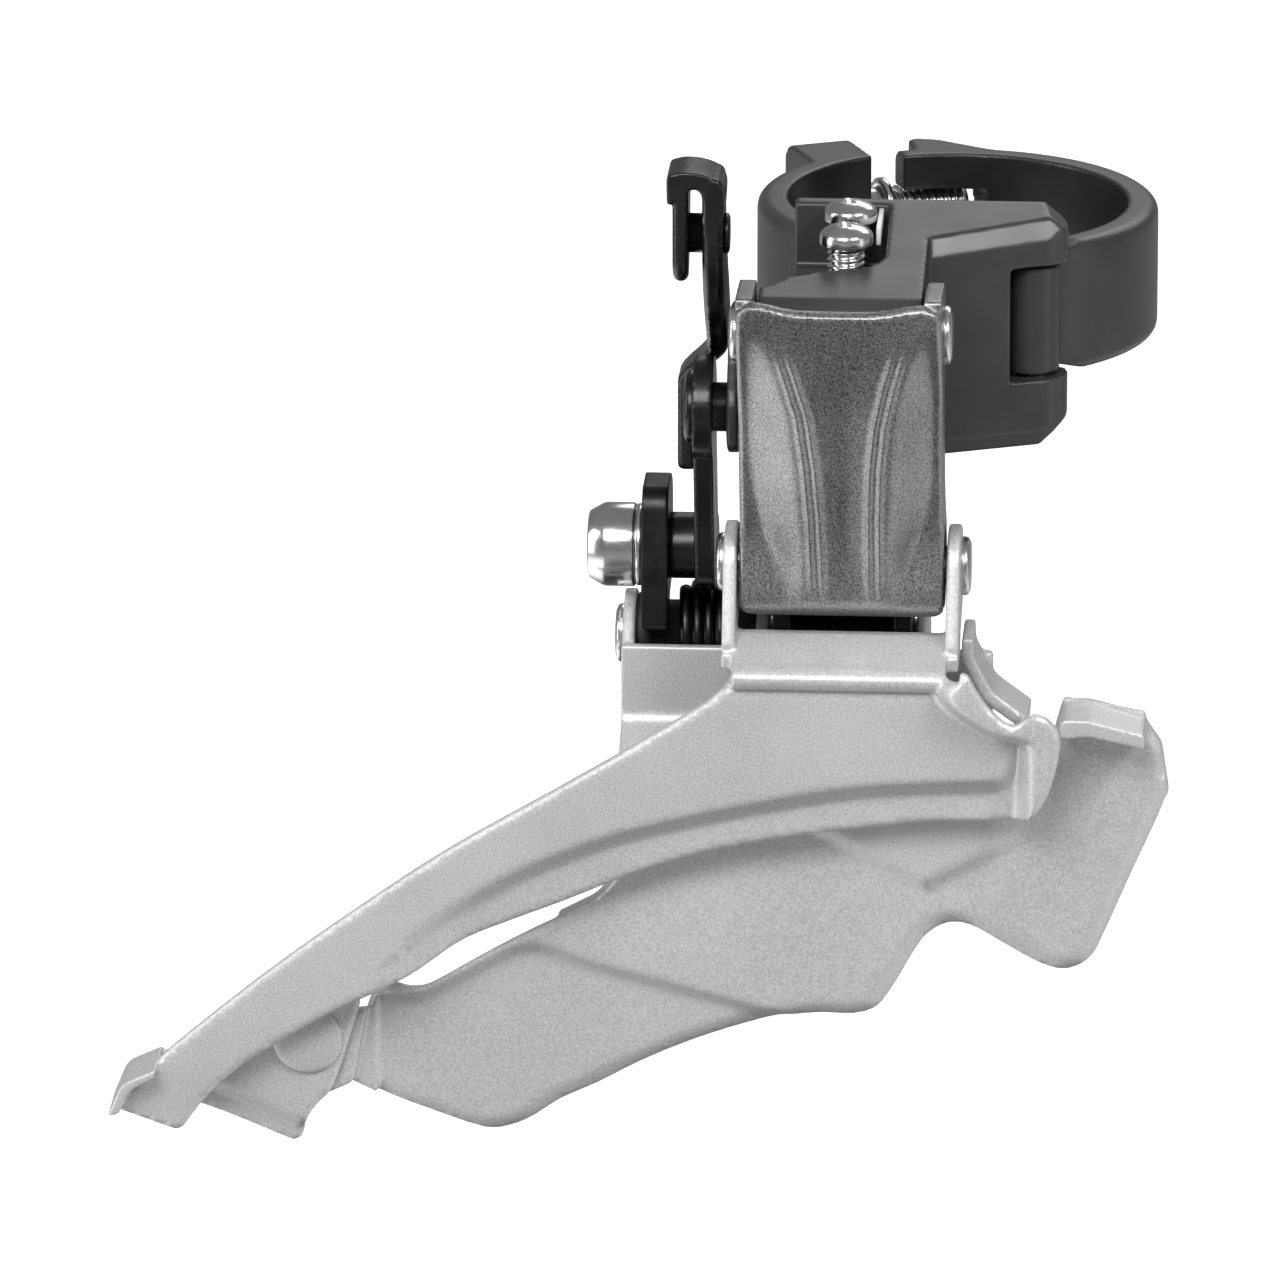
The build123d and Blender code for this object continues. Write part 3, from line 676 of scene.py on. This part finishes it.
def stage():
    reach = FLOOR_REACH
    corners = [(-reach, -reach, 0), (reach, -reach, 0), (reach, reach, 0), (-reach, reach, 0)]
    floor = new_mesh("floor", corners, [(0, 1, 2, 3)])
    floor.location.z = cad_bounds[0][2] - FLOOR_DROP * MM
    shader = Shader("floor_paint", 0.0)
    shader.colour(shader.ramp(shader.noise(400.0, 2.0), [(0.3, 0.9), (0.7, 0.92)]))
    shader.bsdf.inputs["Roughness"].default_value = 0.9
    shader.bsdf.inputs["Emission Color"].default_value = (1.0, 1.0, 1.0, 1.0)
    shader.bsdf.inputs["Emission Strength"].default_value = 0.55
    floor.data.materials.append(shader.material)
    floor.visible_diffuse = False
    floor.visible_glossy = False
    studio()
    for light in LIGHTS:
        area_light(*light)
    bpy.context.scene.view_settings.view_transform = "Standard"


# --- bracket --------------------------------------------------------------------------------
CAST_VOXEL, CAST_ROUNDS = 0.24, 5
LEVER_VOXEL, LEVER_ROUNDS = 0.2, 3


def bracket():
    body = fused(cad_copy("clamp_body", "body_casting"), CAST_VOXEL, CAST_ROUNDS)
    dress(body, "bracket", "clamp_black", CLAMP_BLACK, "clamp_body")
    band = fused(cad_copy("clamp_band", "band_casting"), CAST_VOXEL, CAST_ROUNDS)
    dress(band, "clamp_band", "clamp_black", CLAMP_BLACK, "clamp_band")


def pan_screw(node):
    """Cross-head screw with a domed head and a real thread, on the body of its own name."""
    lowest, highest = low(node), high(node)
    x, y = (lowest.x + highest.x) / 2, (lowest.y + highest.y) / 2
    top = highest.z
    radius = (highest.x - lowest.x) / 2
    dome, rim, steps = 1.3, 0.2, 8
    seat = top - 2.2
    profile = [(0, seat), (radius - rim, seat), (radius, seat + rim), (radius, top - dome)]
    for k in range(1, steps + 1):
        turn = math.pi / 2 * k / steps
        profile.append((radius * math.cos(turn) if k < steps else 0.0, top - dome + dome * math.sin(turn)))
    head = turned(node + "_head", profile, (x, y, 0), (0, 0, 1))
    cut(head, *(cross_arm(x, y, top + 0.1, turn) for turn in (25.0, 115.0)))
    bevelled(head, 0.12, 40.0)
    rod = threaded(node + "_rod", 1.95, 0.32, 0.7, lowest.z, top - 2.0, (x, y, 0), (0, 0, 1))
    screw = joined(node + "_screw", head, rod)
    dress(screw, node, "bolt_zinc", BOLT_ZINC, node)


def cross_arm(x, y, z, turn):
    """Tapered blade that cuts one arm of a screw's cross."""
    arm = bpy.data.meshes.new("arm")
    bm = bmesh.new()
    bmesh.ops.create_cone(bm, segments=4, radius1=0.35 * MM, radius2=1.0 * MM, depth=3.0 * MM,
                          cap_ends=True)
    bmesh.ops.rotate(bm, verts=bm.verts, matrix=Matrix.Rotation(math.radians(45), 3, "Z"))
    bmesh.ops.scale(bm, verts=bm.verts, vec=(2.4, 0.62, 1.0))
    bmesh.ops.rotate(bm, verts=bm.verts, matrix=Matrix.Rotation(math.radians(turn), 3, "Z"))
    bmesh.ops.translate(bm, verts=bm.verts, vec=(x * MM, y * MM, z * MM))
    bm.to_mesh(arm)
    bm.free()
    blade = bpy.data.objects.new("arm", arm)
    bpy.context.scene.collection.objects.link(blade)
    return blade


# --- links ----------------------------------------------------------------------------------
def on_link(u, v, depth):
    """u is X, v runs down the outer link from its top pin, depth runs inboard from the pin line."""
    y, z = beside(OUTER_TOP, -depth, v)
    return (u, y, z)


# (X, v) lines down the outer link, v running from its top pin
LEFT_RIDGE = [(-17.6, -6.0), (-16.6, -3.4), (-15.3, 1.0), (-14.0, 6.0), (-13.3, 12.0), (-12.9, 18.0),
              (-12.5, 31.0)]
RIGHT_RIDGE = [(-2.9, -6.0), (-3.7, -2.0), (-4.9, 2.5), (-5.8, 7.0), (-6.3, 12.0), (-6.5, 18.0),
               (-6.5, 31.0)]
LEFT_EDGE = [(-19.7, -6.0), (-19.7, 12.0), (-19.2, 17.0), (-18.2, 22.0), (-17.2, 26.0), (-16.2, 31.0)]
RIGHT_EDGE = [(-0.5, -6.0), (-0.5, 15.0), (-1.0, 18.5), (-2.0, 22.0), (-3.0, 26.0), (-3.8, 31.0)]
LINK_FRONT = 6.5
FLANK_DROP = 2.8
FLANK_START = 0.9
CREST_HEIGHT, CREST_WIDTH = 0.30, 0.30
MIDDLE_DIP = 0.35
LIP_START, LIP_LENGTH, LIP_BEND = 27.5, 5.0, 5.0


def along_curve(curve, v):
    """X of a line down the link at v."""
    return np.interp(v, [q[1] for q in curve], [q[0] for q in curve])


def link_depth(points):
    """Front of the outer link: two ridges, a flank falling away outside each, and a lip bent inboard."""
    u, v = points[:, 0], points[:, 1]
    out = np.full(len(points), LINK_FRONT)
    deep = smooth((v + 5.0) / 12.0) * smooth((30.0 - v) / 9.0)
    for ridge, border, side in ((LEFT_RIDGE, LEFT_EDGE, -1.0), (RIGHT_RIDGE, RIGHT_EDGE, 1.0)):
        across = (u - along_curve(ridge, v)) * side
        width = np.abs(along_curve(border, v) - along_curve(ridge, v))
        share = np.clip((across - FLANK_START) / np.maximum(width - FLANK_START, 0.5), 0, 1)
        out -= FLANK_DROP * deep * smooth(share)
        crest = sum(np.exp(-(((across - line) / CREST_WIDTH) ** 2)) for line in (-0.75, 0.35))
        out += CREST_HEIGHT * crest * smooth((v + 3.0) / 5.0) * smooth((28.5 - v) / 4.0)
    middle = (along_curve(LEFT_RIDGE, v) + along_curve(RIGHT_RIDGE, v)) / 2
    half = (along_curve(RIGHT_RIDGE, v) - along_curve(LEFT_RIDGE, v)) / 2
    out -= MIDDLE_DIP * deep * (1 - smooth(np.abs(u - middle) / half))
    out -= LIP_BEND * np.clip((v - LIP_START) / LIP_LENGTH, 0, 1) ** 2.2
    return -out


def outer_link_piece():
    """Channel: a pressed wall between two flanges, with both pins' bores."""
    wall_edge = outline([
        (-20.4, -5.9, 0.6), (-19.0, -6.8), (-17.6, -6.7), (-15.2, -6.1), (-12.5, -5.9), (-8.0, -5.9),
        (-5.4, -6.1), (-3.2, -6.6), (-1.4, -6.7), (0.2, -5.9, 0.6), (0.2, 30.2, 1.0), (-1.2, 31.2),
        (-5.0, 31.8), (-10.0, 32.0), (-15.0, 31.8), (-19.0, 31.2), (-20.4, 30.2, 1.0)])
    wall = sheet_shell("link_wall", wall_edge, link_depth, 1.6, on_link, grid=0.26, roll=0.5)
    flange_edge = outline([
        (*beside(OUTER_TOP, 5.6, -7.3), 1.0), (*beside(OUTER_TOP, 5.2, -2.0), 3.0),
        (*beside(OUTER_TOP, 3.3, 7.0), 3.0), (*beside(OUTER_TOP, 3.0, 16.0), 3.0),
        (*beside(OUTER_BOTTOM, 4.2, -1.0), 1.5),
        (*beside(OUTER_BOTTOM, 3.8, 2.6), 1.2), (*beside(OUTER_BOTTOM, 1.0, 4.4), 1.5),
        (*beside(OUTER_BOTTOM, -4.2, 3.0), 1.8), (*beside(OUTER_BOTTOM, -4.2, -3.0), 1.8),
        (*beside(OUTER_BOTTOM, -1.2, -8.0), 3.0), (*beside(OUTER_TOP, -1.2, 8.0), 3.0),
        (*beside(OUTER_TOP, -4.0, 2.5), 1.5), (*beside(OUTER_TOP, -4.0, -4.0), 1.5)])
    sides = [prism("flange", flange_edge, on_yz, start, end) for start, end in ((-20.4, -18.7), (-1.5, 0.2))]
    link = joined("outer_link_shell", wall, *sides)
    fused(link, 0.15, 2)
    holes = [turned("bore", [(0, -30), (2.02, -30), (2.02, 10), (0, 10)], (0, *pin), (1, 0, 0))
             for pin in (OUTER_TOP, OUTER_BOTTOM)]
    cut(link, *holes)
    dress(link, "outer_link", "link_grey", LINK_GREY, "outer_link")


def pin_piece(node, body, slot, material, shank, left, right):
    """Riveted pin along X, with a head of the given thickness at the left and at the right."""
    lowest, highest = low(node), high(node)
    middle = (lowest + highest) / 2
    radius = (highest.y - lowest.y) / 2
    profile = [(0, lowest.x), (radius * 0.8, lowest.x), (radius * 0.96, lowest.x + left * 0.25),
               (radius, lowest.x + left * 0.55), (radius, lowest.x + left),
               (shank, lowest.x + left), (shank, highest.x - right)]
    if right:
        profile += [(radius, highest.x - right), (radius, highest.x - right * 0.55),
                    (radius * 0.96, highest.x - right * 0.25), (radius * 0.8, highest.x)]
    profile += [(0, highest.x)]
    pin = turned(node + "_turned", profile, (0, middle.y, middle.z), (1, 0, 0))
    bevelled(pin, 0.08)
    dress(pin, body, slot, material, node)


# --- cage -----------------------------------------------------------------------------------
def portion(node, name, lowest, highest):
    """Part of a CAD node's mesh inside a box, for joining to finer sheets."""
    part = cad_copy(node, name)
    lowest, highest = Vector(lowest), Vector(highest)
    size = highest - lowest
    corners = [lowest + Vector((size.x * i, size.y * j, size.z * k))
               for i in (0, 1) for j in (0, 1) for k in (0, 1)]
    faces = [(0, 1, 3, 2), (4, 6, 7, 5), (0, 4, 5, 1), (2, 3, 7, 6), (0, 2, 6, 4), (1, 5, 7, 3)]
    block = new_mesh(name + "_box", corners, faces)
    step = part.modifiers.new("keep", "BOOLEAN")
    step.operation = "INTERSECT"
    step.solver = "EXACT"
    step.object = block
    with_modifiers(part)
    bpy.data.objects.remove(block)
    return part


OUTER_FACE = -45.2
RIM_FACE = -43.4
INNER_FACE = -35.2
OUTER_EDGE = outline([
    (-84.3, -79.4, 0.9), (-81.4, -76.2), (-78.8, -73.6), (-68.2, -64.6), (-58.8, -57.5), (-49.8, -51.2),
    (-38.0, -44.1), (-30.8, -39.7), (-25.0, -36.0), (-22.9, -34.5), (-21.3, -32.8), (-20.6, -31.6, 0),
    (0.8, -31.6, 0), (2.2, -31.6, 0), (2.2, -30.4, 0.3), (3.1, -30.6, 0.5), (3.9, -32.2), (5.3, -34.2),
    (7.0, -35.7), (8.0, -35.9, 0.4), (9.3, -34.9, 1.2), (11.0, -35.7), (12.0, -36.8), (12.4, -38.2),
    (12.2, -40.0), (11.6, -42.6), (10.8, -44.6), (9.7, -46.2), (8.2, -47.3), (6.2, -47.6), (-0.7, -47.8),
    (-5.6, -48.4), (-11.0, -49.1), (-16.5, -50.0), (-24.6, -51.8), (-31.0, -54.0), (-38.2, -57.1),
    (-43.4, -59.2), (-48.4, -61.4), (-53.3, -64.7), (-57.4, -66.8), (-61.5, -68.8), (-67.1, -72.2),
    (-70.9, -74.8), (-74.7, -78.5), (-77.2, -81.9, 0.9)])
PRESSING = catmull([
    (9.2, -34.0), (9.0, -36.4), (8.0, -39.4), (7.0, -42.2), (5.9, -43.4), (3.6, -43.6), (-2.0, -43.9),
    (-8.8, -44.5), (-16.4, -45.9), (-24.5, -47.7), (-32.6, -49.9), (-38.1, -52.0), (-43.0, -54.3),
    (-48.5, -57.7), (-53.5, -61.5)],
    0.5)
SHOULDER = catmull([
    (-1.0, -29.0), (0.6, -31.4), (1.2, -32.9), (2.4, -34.2), (4.2, -35.4), (6.4, -36.6), (9.5, -37.4)], 0.5)
RECESS = catmull([
    (-60.0, -68.2), (-56.2, -69.1), (-54.2, -69.3), (-52.2, -68.6), (-49.3, -67.1), (-46.1, -65.3),
    (-43.4, -63.9), (-41.4, -63.4), (-39.6, -63.8), (-36.0, -65.1), (-30.6, -66.6), (-24.4, -68.2),
    (-18.3, -69.8), (-13.0, -71.2)],
    0.5)
INNER_EDGE = outline([
    (-58.2, -69.3, 0.8), (-60.9, -77.8, 1.2), (-56.6, -80.1), (-51.9, -81.9), (-47.8, -83.3),
    (-45.7, -83.7), (-42.5, -82.8), (-38.8, -80.4), (-35.1, -78.6), (-30.3, -76.0), (-25.4, -73.8),
    (-20.4, -72.0), (-15.5, -70.6), (-12.3, -70.1), (-8.6, -70.1), (-6.5, -69.4), (-4.8, -67.2),
    (-2.9, -63.8), (-1.6, -61.8), (0.0, -60.5), (1.7, -60.1), (3.6, -60.6), (6.5, -62.3), (10.4, -64.4),
    (12.6, -64.9), (14.1, -64.5), (15.5, -63.4), (16.9, -60.5), (19.5, -54.3), (22.0, -48.5),
    (23.1, -45.6, 0.3), (23.0, -44.2, 0.2), (22.2, -44.1, 0.2), (22.2, -41.0, 0.6), (20.9, -39.4, 0.5),
    (20.8, -37.0, 0.3), (12.4, -35.6, 0.3), (11.0, -40.6, 1.0), (-2.0, -41.5, 1.0), (-14.0, -42.5, 1.0),
    (-29.0, -46.0, 2.0), (-31.8, -52.0), (-33.0, -55.6), (-34.8, -57.8), (-38.7, -60.0), (-42.4, -61.9),
    (-47.1, -64.6), (-50.9, -66.9), (-52.5, -67.7), (-54.2, -67.8), (-56.0, -67.4)])
INNER_ROLLED = catmull([
    (-58.4, -69.8), (-60.9, -77.8), (-56.6, -80.1), (-51.9, -81.9), (-45.7, -83.7), (-42.5, -82.8),
    (-38.8, -80.4), (-30.3, -76.0), (-20.4, -72.0), (-12.3, -70.1), (-8.6, -70.1), (-6.5, -69.4),
    (-2.9, -63.8), (0.0, -60.5), (1.7, -60.1), (6.5, -62.3), (12.6, -64.9), (14.1, -64.5), (15.5, -63.4),
    (19.5, -54.3), (23.1, -45.6)], 0.5)


SHOULDER_SINK = 3.2
TOP_ROLL = 2.2
STEP_BACK, STEP_HEIGHT = 0.75, 1.25
BUMP_HEIGHT = 1.0
EDGE_ROLL, EDGE_ROLL_WIDTH = 0.75, 2.0


def outer_depth(points):
    """Panel pressed forward from the rim, fading out at the tail, its shoulder sunk and its top rolled."""
    gap, side = to_polyline(points, PRESSING)
    raised = smooth(gap * side / 2.4 + 0.5)
    u = points[:, 0]
    tail = smooth((-46.0 - u) / 12.0)
    raised = raised + (1 - raised) * tail
    beyond, flank = to_polyline(points, SHOULDER)
    sunk = smooth(beyond * flank / 2.0) * smooth((9.6 - u) / 2.0)
    top = np.clip((points[:, 1] + 34.4) / 2.8, 0, 1) ** 2 * smooth((2.0 - u) / 1.5)
    return RIM_FACE - (RIM_FACE - OUTER_FACE) * raised + SHOULDER_SINK * sunk + TOP_ROLL * top


def inner_depth(points):
    """Stepped face with a V-shaped bump, its free edges bent back."""
    gap, side = to_polyline(points, RECESS)
    depth = INNER_FACE - STEP_BACK + STEP_HEIGHT * smooth(gap * side / 1.8 + 0.5)
    bump_a, side_a = to_polyline(points, [(-16.0, -49.2), (-1.4, -56.9)])
    bump_b, side_b = to_polyline(points, [(-1.4, -56.9), (14.0, -48.7)])
    within = np.minimum(bump_a * -side_a, bump_b * -side_b)
    depth -= BUMP_HEIGHT * smooth(within / 2.0) * smooth((10.0 - points[:, 0]) / 6.0)
    rolled, _ = to_polyline(points, INNER_ROLLED)
    return depth + EDGE_ROLL * (1 - smooth(rolled / EDGE_ROLL_WIDTH)) ** 1.5


def cage_outer():
    """Outer plate: pressed face, shelf and ears, folded tail and its front fold."""
    face = sheet_shell("outer_face", OUTER_EDGE, outer_depth, 1.5, on_xz, grid=0.6, roll=0.4)
    upper = portion("cage_outer_plate", "outer_ears", (-40, -39.9, -32.6), (20, 0, 0))
    ledge = outline([(-42.6, -33.4, 0), (-43.2, -32.2, 0.4), (-42.6, -31.4), (-41.0, -30.8), (-39.0, -30.0),
                     (-36.4, -28.9, 0.5), (-35.6, -29.8, 0.4), (-38.6, -31.3), (-41.0, -32.4)])
    shelf = prism("outer_shelf", ledge, on_yz, -20.9, 0.7)
    tail_edge = outline([
        (-83.6, -78.8, 0.8), (-82.4, -76.4, 1.0), (-79.0, -74.7), (-70.0, -70.5), (-60.2, -67.0),
        (-58.8, -68.6, 1.0), (-61.3, -76.8), (-62.2, -78.8), (-63.5, -80.2), (-64.4, -81.5),
        (-65.2, -84.1), (-65.9, -84.6, 0.5), (-75.2, -80.9)])
    joggle = catmull([(-90.0, -71.0), (-73.4, -78.6), (-64.9, -82.5), (-60.0, -84.8)], 1.0)

    def tail_depth(points):
        gap, side = to_polyline(points, joggle)
        return -37.8 + 1.3 * (1 - smooth(-gap * side / 1.9 + 0.5))

    tail = sheet_shell("tail", tail_edge, tail_depth, 1.2, on_xz, grid=0.6, roll=0.3)
    fold = outline([(-84.35, -79.4, 0.3), (-82.9, -75.9, 0.8), (-79.2, -74.2, 0.3), (-79.6, -75.3, 0.2),
                    (-82.1, -76.7, 0.6), (-83.1, -79.1, 0.2)])
    wrap = prism("fold", fold, on_xz, OUTER_FACE + 0.3, -36.8)
    plate = joined("cage_outer", face, upper, shelf, tail, wrap)
    hole = turned("rivet_hole", [(0, -42), (1.75, -42), (1.75, -30), (0, -30)], (-64.3, 0, -73.0), (0, 1, 0))
    fused(plate, 0.22, 8)
    cut(plate, hole)
    dress(plate, "cage", "cage_silver", CAGE_SILVER, "cage_outer_plate")


def cage_inner():
    """Inner plate: pressed face, rear bracket, front tab and the tongue at the rivet."""
    face = sheet_shell("inner_face", INNER_EDGE, inner_depth, 1.3, on_xz, grid=0.6, roll=0.4)
    rear = portion("cage_inner_plate", "inner_rear", (-40, -34.9, -60), (8.6, 0, 0))
    front = portion("cage_inner_plate", "inner_tab", (8, -60, -46), (30, 0, 0))
    tongue = portion("cage_inner_plate", "inner_tongue", (-80, -37, -90), (-57.5, -30, -60))
    plate = joined("cage_inner", face, rear, front, tongue)
    fused(plate, 0.24, 7)
    dress(plate, "cage", "cage_silver", CAGE_SILVER, "cage_inner_plate")


def tail_rivet():
    lowest, highest = low("tail_rivet"), high("tail_rivet")
    x, z = (lowest.x + highest.x) / 2, (lowest.z + highest.z) / 2
    radius = (highest.x - lowest.x) / 2
    profile = [(0, lowest.y - 0.1), (radius - 0.9, lowest.y), (radius - 0.25, lowest.y + 0.15),
               (radius, lowest.y + 0.45), (radius, -37.8), (1.75, -37.8), (1.75, highest.y - 0.9),
               (2.9, highest.y - 0.9), (2.9, highest.y - 0.3), (2.5, highest.y), (0, highest.y)]
    rivet = turned("tail_rivet_turned", profile, (x, 0, z), (0, 1, 0))
    bevelled(rivet, 0.08)
    dress(rivet, "cage", "cage_silver", CAGE_SILVER, "tail_rivet")


# --- pins and small parts -------------------------------------------------------------------
def inner_link_piece():
    link = fused(cad_copy("inner_link", "inner_link_casting"), LEVER_VOXEL, LEVER_ROUNDS)
    dress(link, "inner_link", "lever_black", LEVER_BLACK, "inner_link")
    lever = fused(cad_copy("cable_lever", "lever_casting"), LEVER_VOXEL, LEVER_ROUNDS)
    dress(lever, "inner_link", "lever_black", LEVER_BLACK, "cable_lever")


def arm_depth(points):
    """The arm steps outboard towards its foot."""
    return -24.4 - 3.1 * smooth((-2.6 - points[:, 1]) / 4.2)


def cable_arm_piece():
    edge = outline([
        (-23.2, -16.2, 0.9), (-17.8, -16.2, 0.9), (-17.8, -4.4), (-18.4, -0.4), (-20.8, 3.6), (-23.8, 7.4),
        (-25.8, 11.0), (-27.4, 15.6), (-27.7, 17.6, 0.4), (-34.4, 17.6, 0.4), (-34.4, 10.0), (-33.0, 6.0),
        (-29.4, 1.4), (-26.4, -1.2), (-23.9, -4.6), (-23.2, -8.0)])
    plate = sheet_shell("arm_plate", edge, arm_depth, 2.1, on_yz, grid=0.5, roll=0.45)
    arch = outline([
        (-22.3, 13.0, 0), (-22.25, 16.6), (-22.9, 17.5), (-24.3, 18.1), (-26.4, 18.3),
        (-28.0, 17.9, 0.4), (-27.95, 14.8, 0.3), (-27.1, 15.2), (-26.0, 16.2), (-25.0, 16.5),
        (-24.5, 16.0), (-24.4, 13.0, 0)], 0.3)
    hook = prism("arm_arch", arch, on_xz, -34.3, -27.7)
    prong_edge = outline([
        (-34.3, 17.2, 0.4), (-34.3, 7.8, 1.2), (-32.4, 6.5), (-30.6, 7.6, 1.0), (-27.8, 17.2, 0.4)])
    prong = sheet_shell("arm_prong", prong_edge, lambda q: np.full(len(q), -27.4), 1.6, on_yz,
                        grid=0.5, roll=0.5)
    arm = joined("cable_arm_shell", plate, hook, prong)
    fused(arm, LEVER_VOXEL, 4)
    dress(arm, "inner_link", "lever_black", LEVER_BLACK, "cable_arm")
    post = turned("hook_post", [(0, -25.9), (2.0, -25.9), (2.0, -22.2), (2.05, -22.2), (2.05, -21.9),
                                (1.8, -21.75), (0, -21.75)], (0, -31.0, 11.2), (1, 0, 0))
    dress(post, "inner_link", "lever_black", LEVER_BLACK, "cable_hook_pin")


def hexagon(name, radius, start, end, origin, axis):
    """Hexagonal bar for cutting a key socket."""
    return turned(name, [(0, start), (radius, start), (radius, end), (0, end)], origin, axis, 6)


def cable_anchor():
    lowest, highest = low("cable_bolt"), high("cable_bolt")
    y, z = (lowest.y + highest.y) / 2, (lowest.z + highest.z) / 2
    radius = (highest.y - lowest.y) / 2
    left, seat = lowest.x, low("cable_washer").x
    profile = [(0, left), (radius - 1.3, left), (radius - 0.9, left + 0.1), (radius - 0.1, left + 1.5),
               (radius, left + 1.9), (radius, seat - 0.25), (radius - 0.15, seat), (2.5, seat),
               (2.5, highest.x), (0, highest.x)]
    bolt = turned("anchor_bolt", profile, (0, y, z), (1, 0, 0), 72)
    cut(bolt, hexagon("key", 2.8, left - 1, left + 3.0, (0, y, z), (1, 0, 0)))
    bevelled(bolt, 0.1, 28.0)
    dress(bolt, "inner_link", "bolt_zinc", BOLT_ZINC, "cable_bolt")
    start, end = low("cable_washer").x, high("cable_washer").x
    rim = [(2.5, start), (4.0, start), (4.2, start + 0.15), (4.2, end - 0.15), (4.0, end), (2.5, end)]
    ring = turned("anchor_washer", rim, (0, y, z), (1, 0, 0))
    dress(ring, "inner_link", "bolt_zinc", BOLT_ZINC, "cable_washer")
    plate = fused(cad_copy("cable_plate", "anchor_plate"), 0.16, 4)
    dress(plate, "inner_link", "plate_grey", PLATE_GREY, "cable_plate")


def return_spring():
    """Open coil round the bush, without legs."""
    lowest, highest = low("return_spring"), high("return_spring")
    centre = (lowest + highest) / 2
    wire = 0.68
    coil = (highest.y - lowest.y) / 2 - wire
    turns, per_turn = 3.6, 36
    start, end = lowest.x + wire, highest.x - wire
    path = []
    for k in range(int(turns * per_turn) + 1):
        angle = math.radians(100.0) + 2 * math.pi * k / per_turn
        x = start + (end - start) * k / (turns * per_turn)
        path.append((x, centre.y + coil * math.cos(angle), centre.z + coil * math.sin(angle)))
    spring = swept("spring_coil", path, wire)
    dress(spring, "cage", "spring_steel", SPRING_STEEL, "return_spring")


def bush():
    lowest, highest = low("spring_bush"), high("spring_bush")
    y, z = (lowest.y + highest.y) / 2, (lowest.z + highest.z) / 2
    flange = (highest.y - lowest.y) / 2
    profile = [(2.05, lowest.x), (flange - 0.2, lowest.x), (flange, lowest.x + 0.2), (flange, lowest.x + 1.3),
               (flange - 0.2, lowest.x + 1.5), (3.5, lowest.x + 1.5), (3.5, highest.x), (2.05, highest.x)]
    tube = turned("bush_turned", profile, (0, y, z), (1, 0, 0))
    dress(tube, "cage", "bush_black", BUSH_BLACK, "spring_bush")


BOLT_TURN = 23.0
BOLT_OUT = 20.9


def clamp_parts():
    """Bolt, its retaining ring, the hinge pin and the strip beside the limit screws."""
    turn = math.radians(BOLT_TURN)
    along = Vector((math.cos(turn), math.sin(turn), 0))
    origin = Vector((-math.sin(turn) * BOLT_OUT, math.cos(turn) * BOLT_OUT, 0))
    rim = [(0, -10.8), (3.4, -10.8), (4.0, -10.2), (4.0, -7.1), (3.9, -7.0), (0, -7.0)]
    head = turned("clamp_bolt_head", rim, origin, along)
    cut(head, hexagon("key", 2.3, -12, -8.4, origin, along))
    bevelled(head, 0.12, 28.0)
    shank = turned("clamp_bolt_shank", rounded_profile(2.4, -7.1, 0.3, 0.1), origin, along)
    thread = threaded("clamp_bolt_thread", 2.5, 0.38, 0.8, 0.0, 8.4, origin, along)
    bolt = joined("clamp_bolt_whole", head, shank, thread)
    dress(bolt, "bracket", "bolt_zinc", BOLT_ZINC, "clamp_bolt")
    rim = [(2.4, -0.9), (3.2, -0.9), (3.4, -0.7), (3.4, -0.2), (3.2, 0.0), (2.4, 0.0)]
    ring = turned("retaining_ring", rim, origin, along)
    dress(ring, "bracket", "bolt_zinc", BOLT_ZINC, "bolt_retaining_ring")
    lowest, highest = low("clamp_hinge_pin"), high("clamp_hinge_pin")
    x, y = (lowest.x + highest.x) / 2, (lowest.y + highest.y) / 2
    pin = turned("hinge_pin", rounded_profile(1.6, lowest.z, highest.z, 0.25), (x, y, 0), (0, 0, 1))
    dress(pin, "bracket", "pin_steel", PIN_STEEL, "clamp_hinge_pin")
    strip = cad_copy("screw_friction_plate", "friction_strip")
    bevelled(strip, 0.08)
    dress(strip, "bracket", "nylon", NYLON, "screw_friction_plate")


camera()
stage()
bracket()
for node in ("low_limit_screw", "high_limit_screw"):
    pan_screw(node)
outer_link_piece()
cage_outer()
cage_inner()
tail_rivet()
PIN_BODIES = {"outer_top_pin": "outer_link", "outer_bottom_pin": "cage", "inner_bottom_pin": "cage"}
for node, body in PIN_BODIES.items():
    pin_piece(node, body, "pin_steel", PIN_STEEL, 2.0, 0.9, 0.9)
pin_piece("inner_top_pin", "inner_link", "lever_black", LEVER_BLACK, 2.5, 1.0, 0.0)
inner_link_piece()
cable_arm_piece()
cable_anchor()
return_spring()
bush()
clamp_parts()
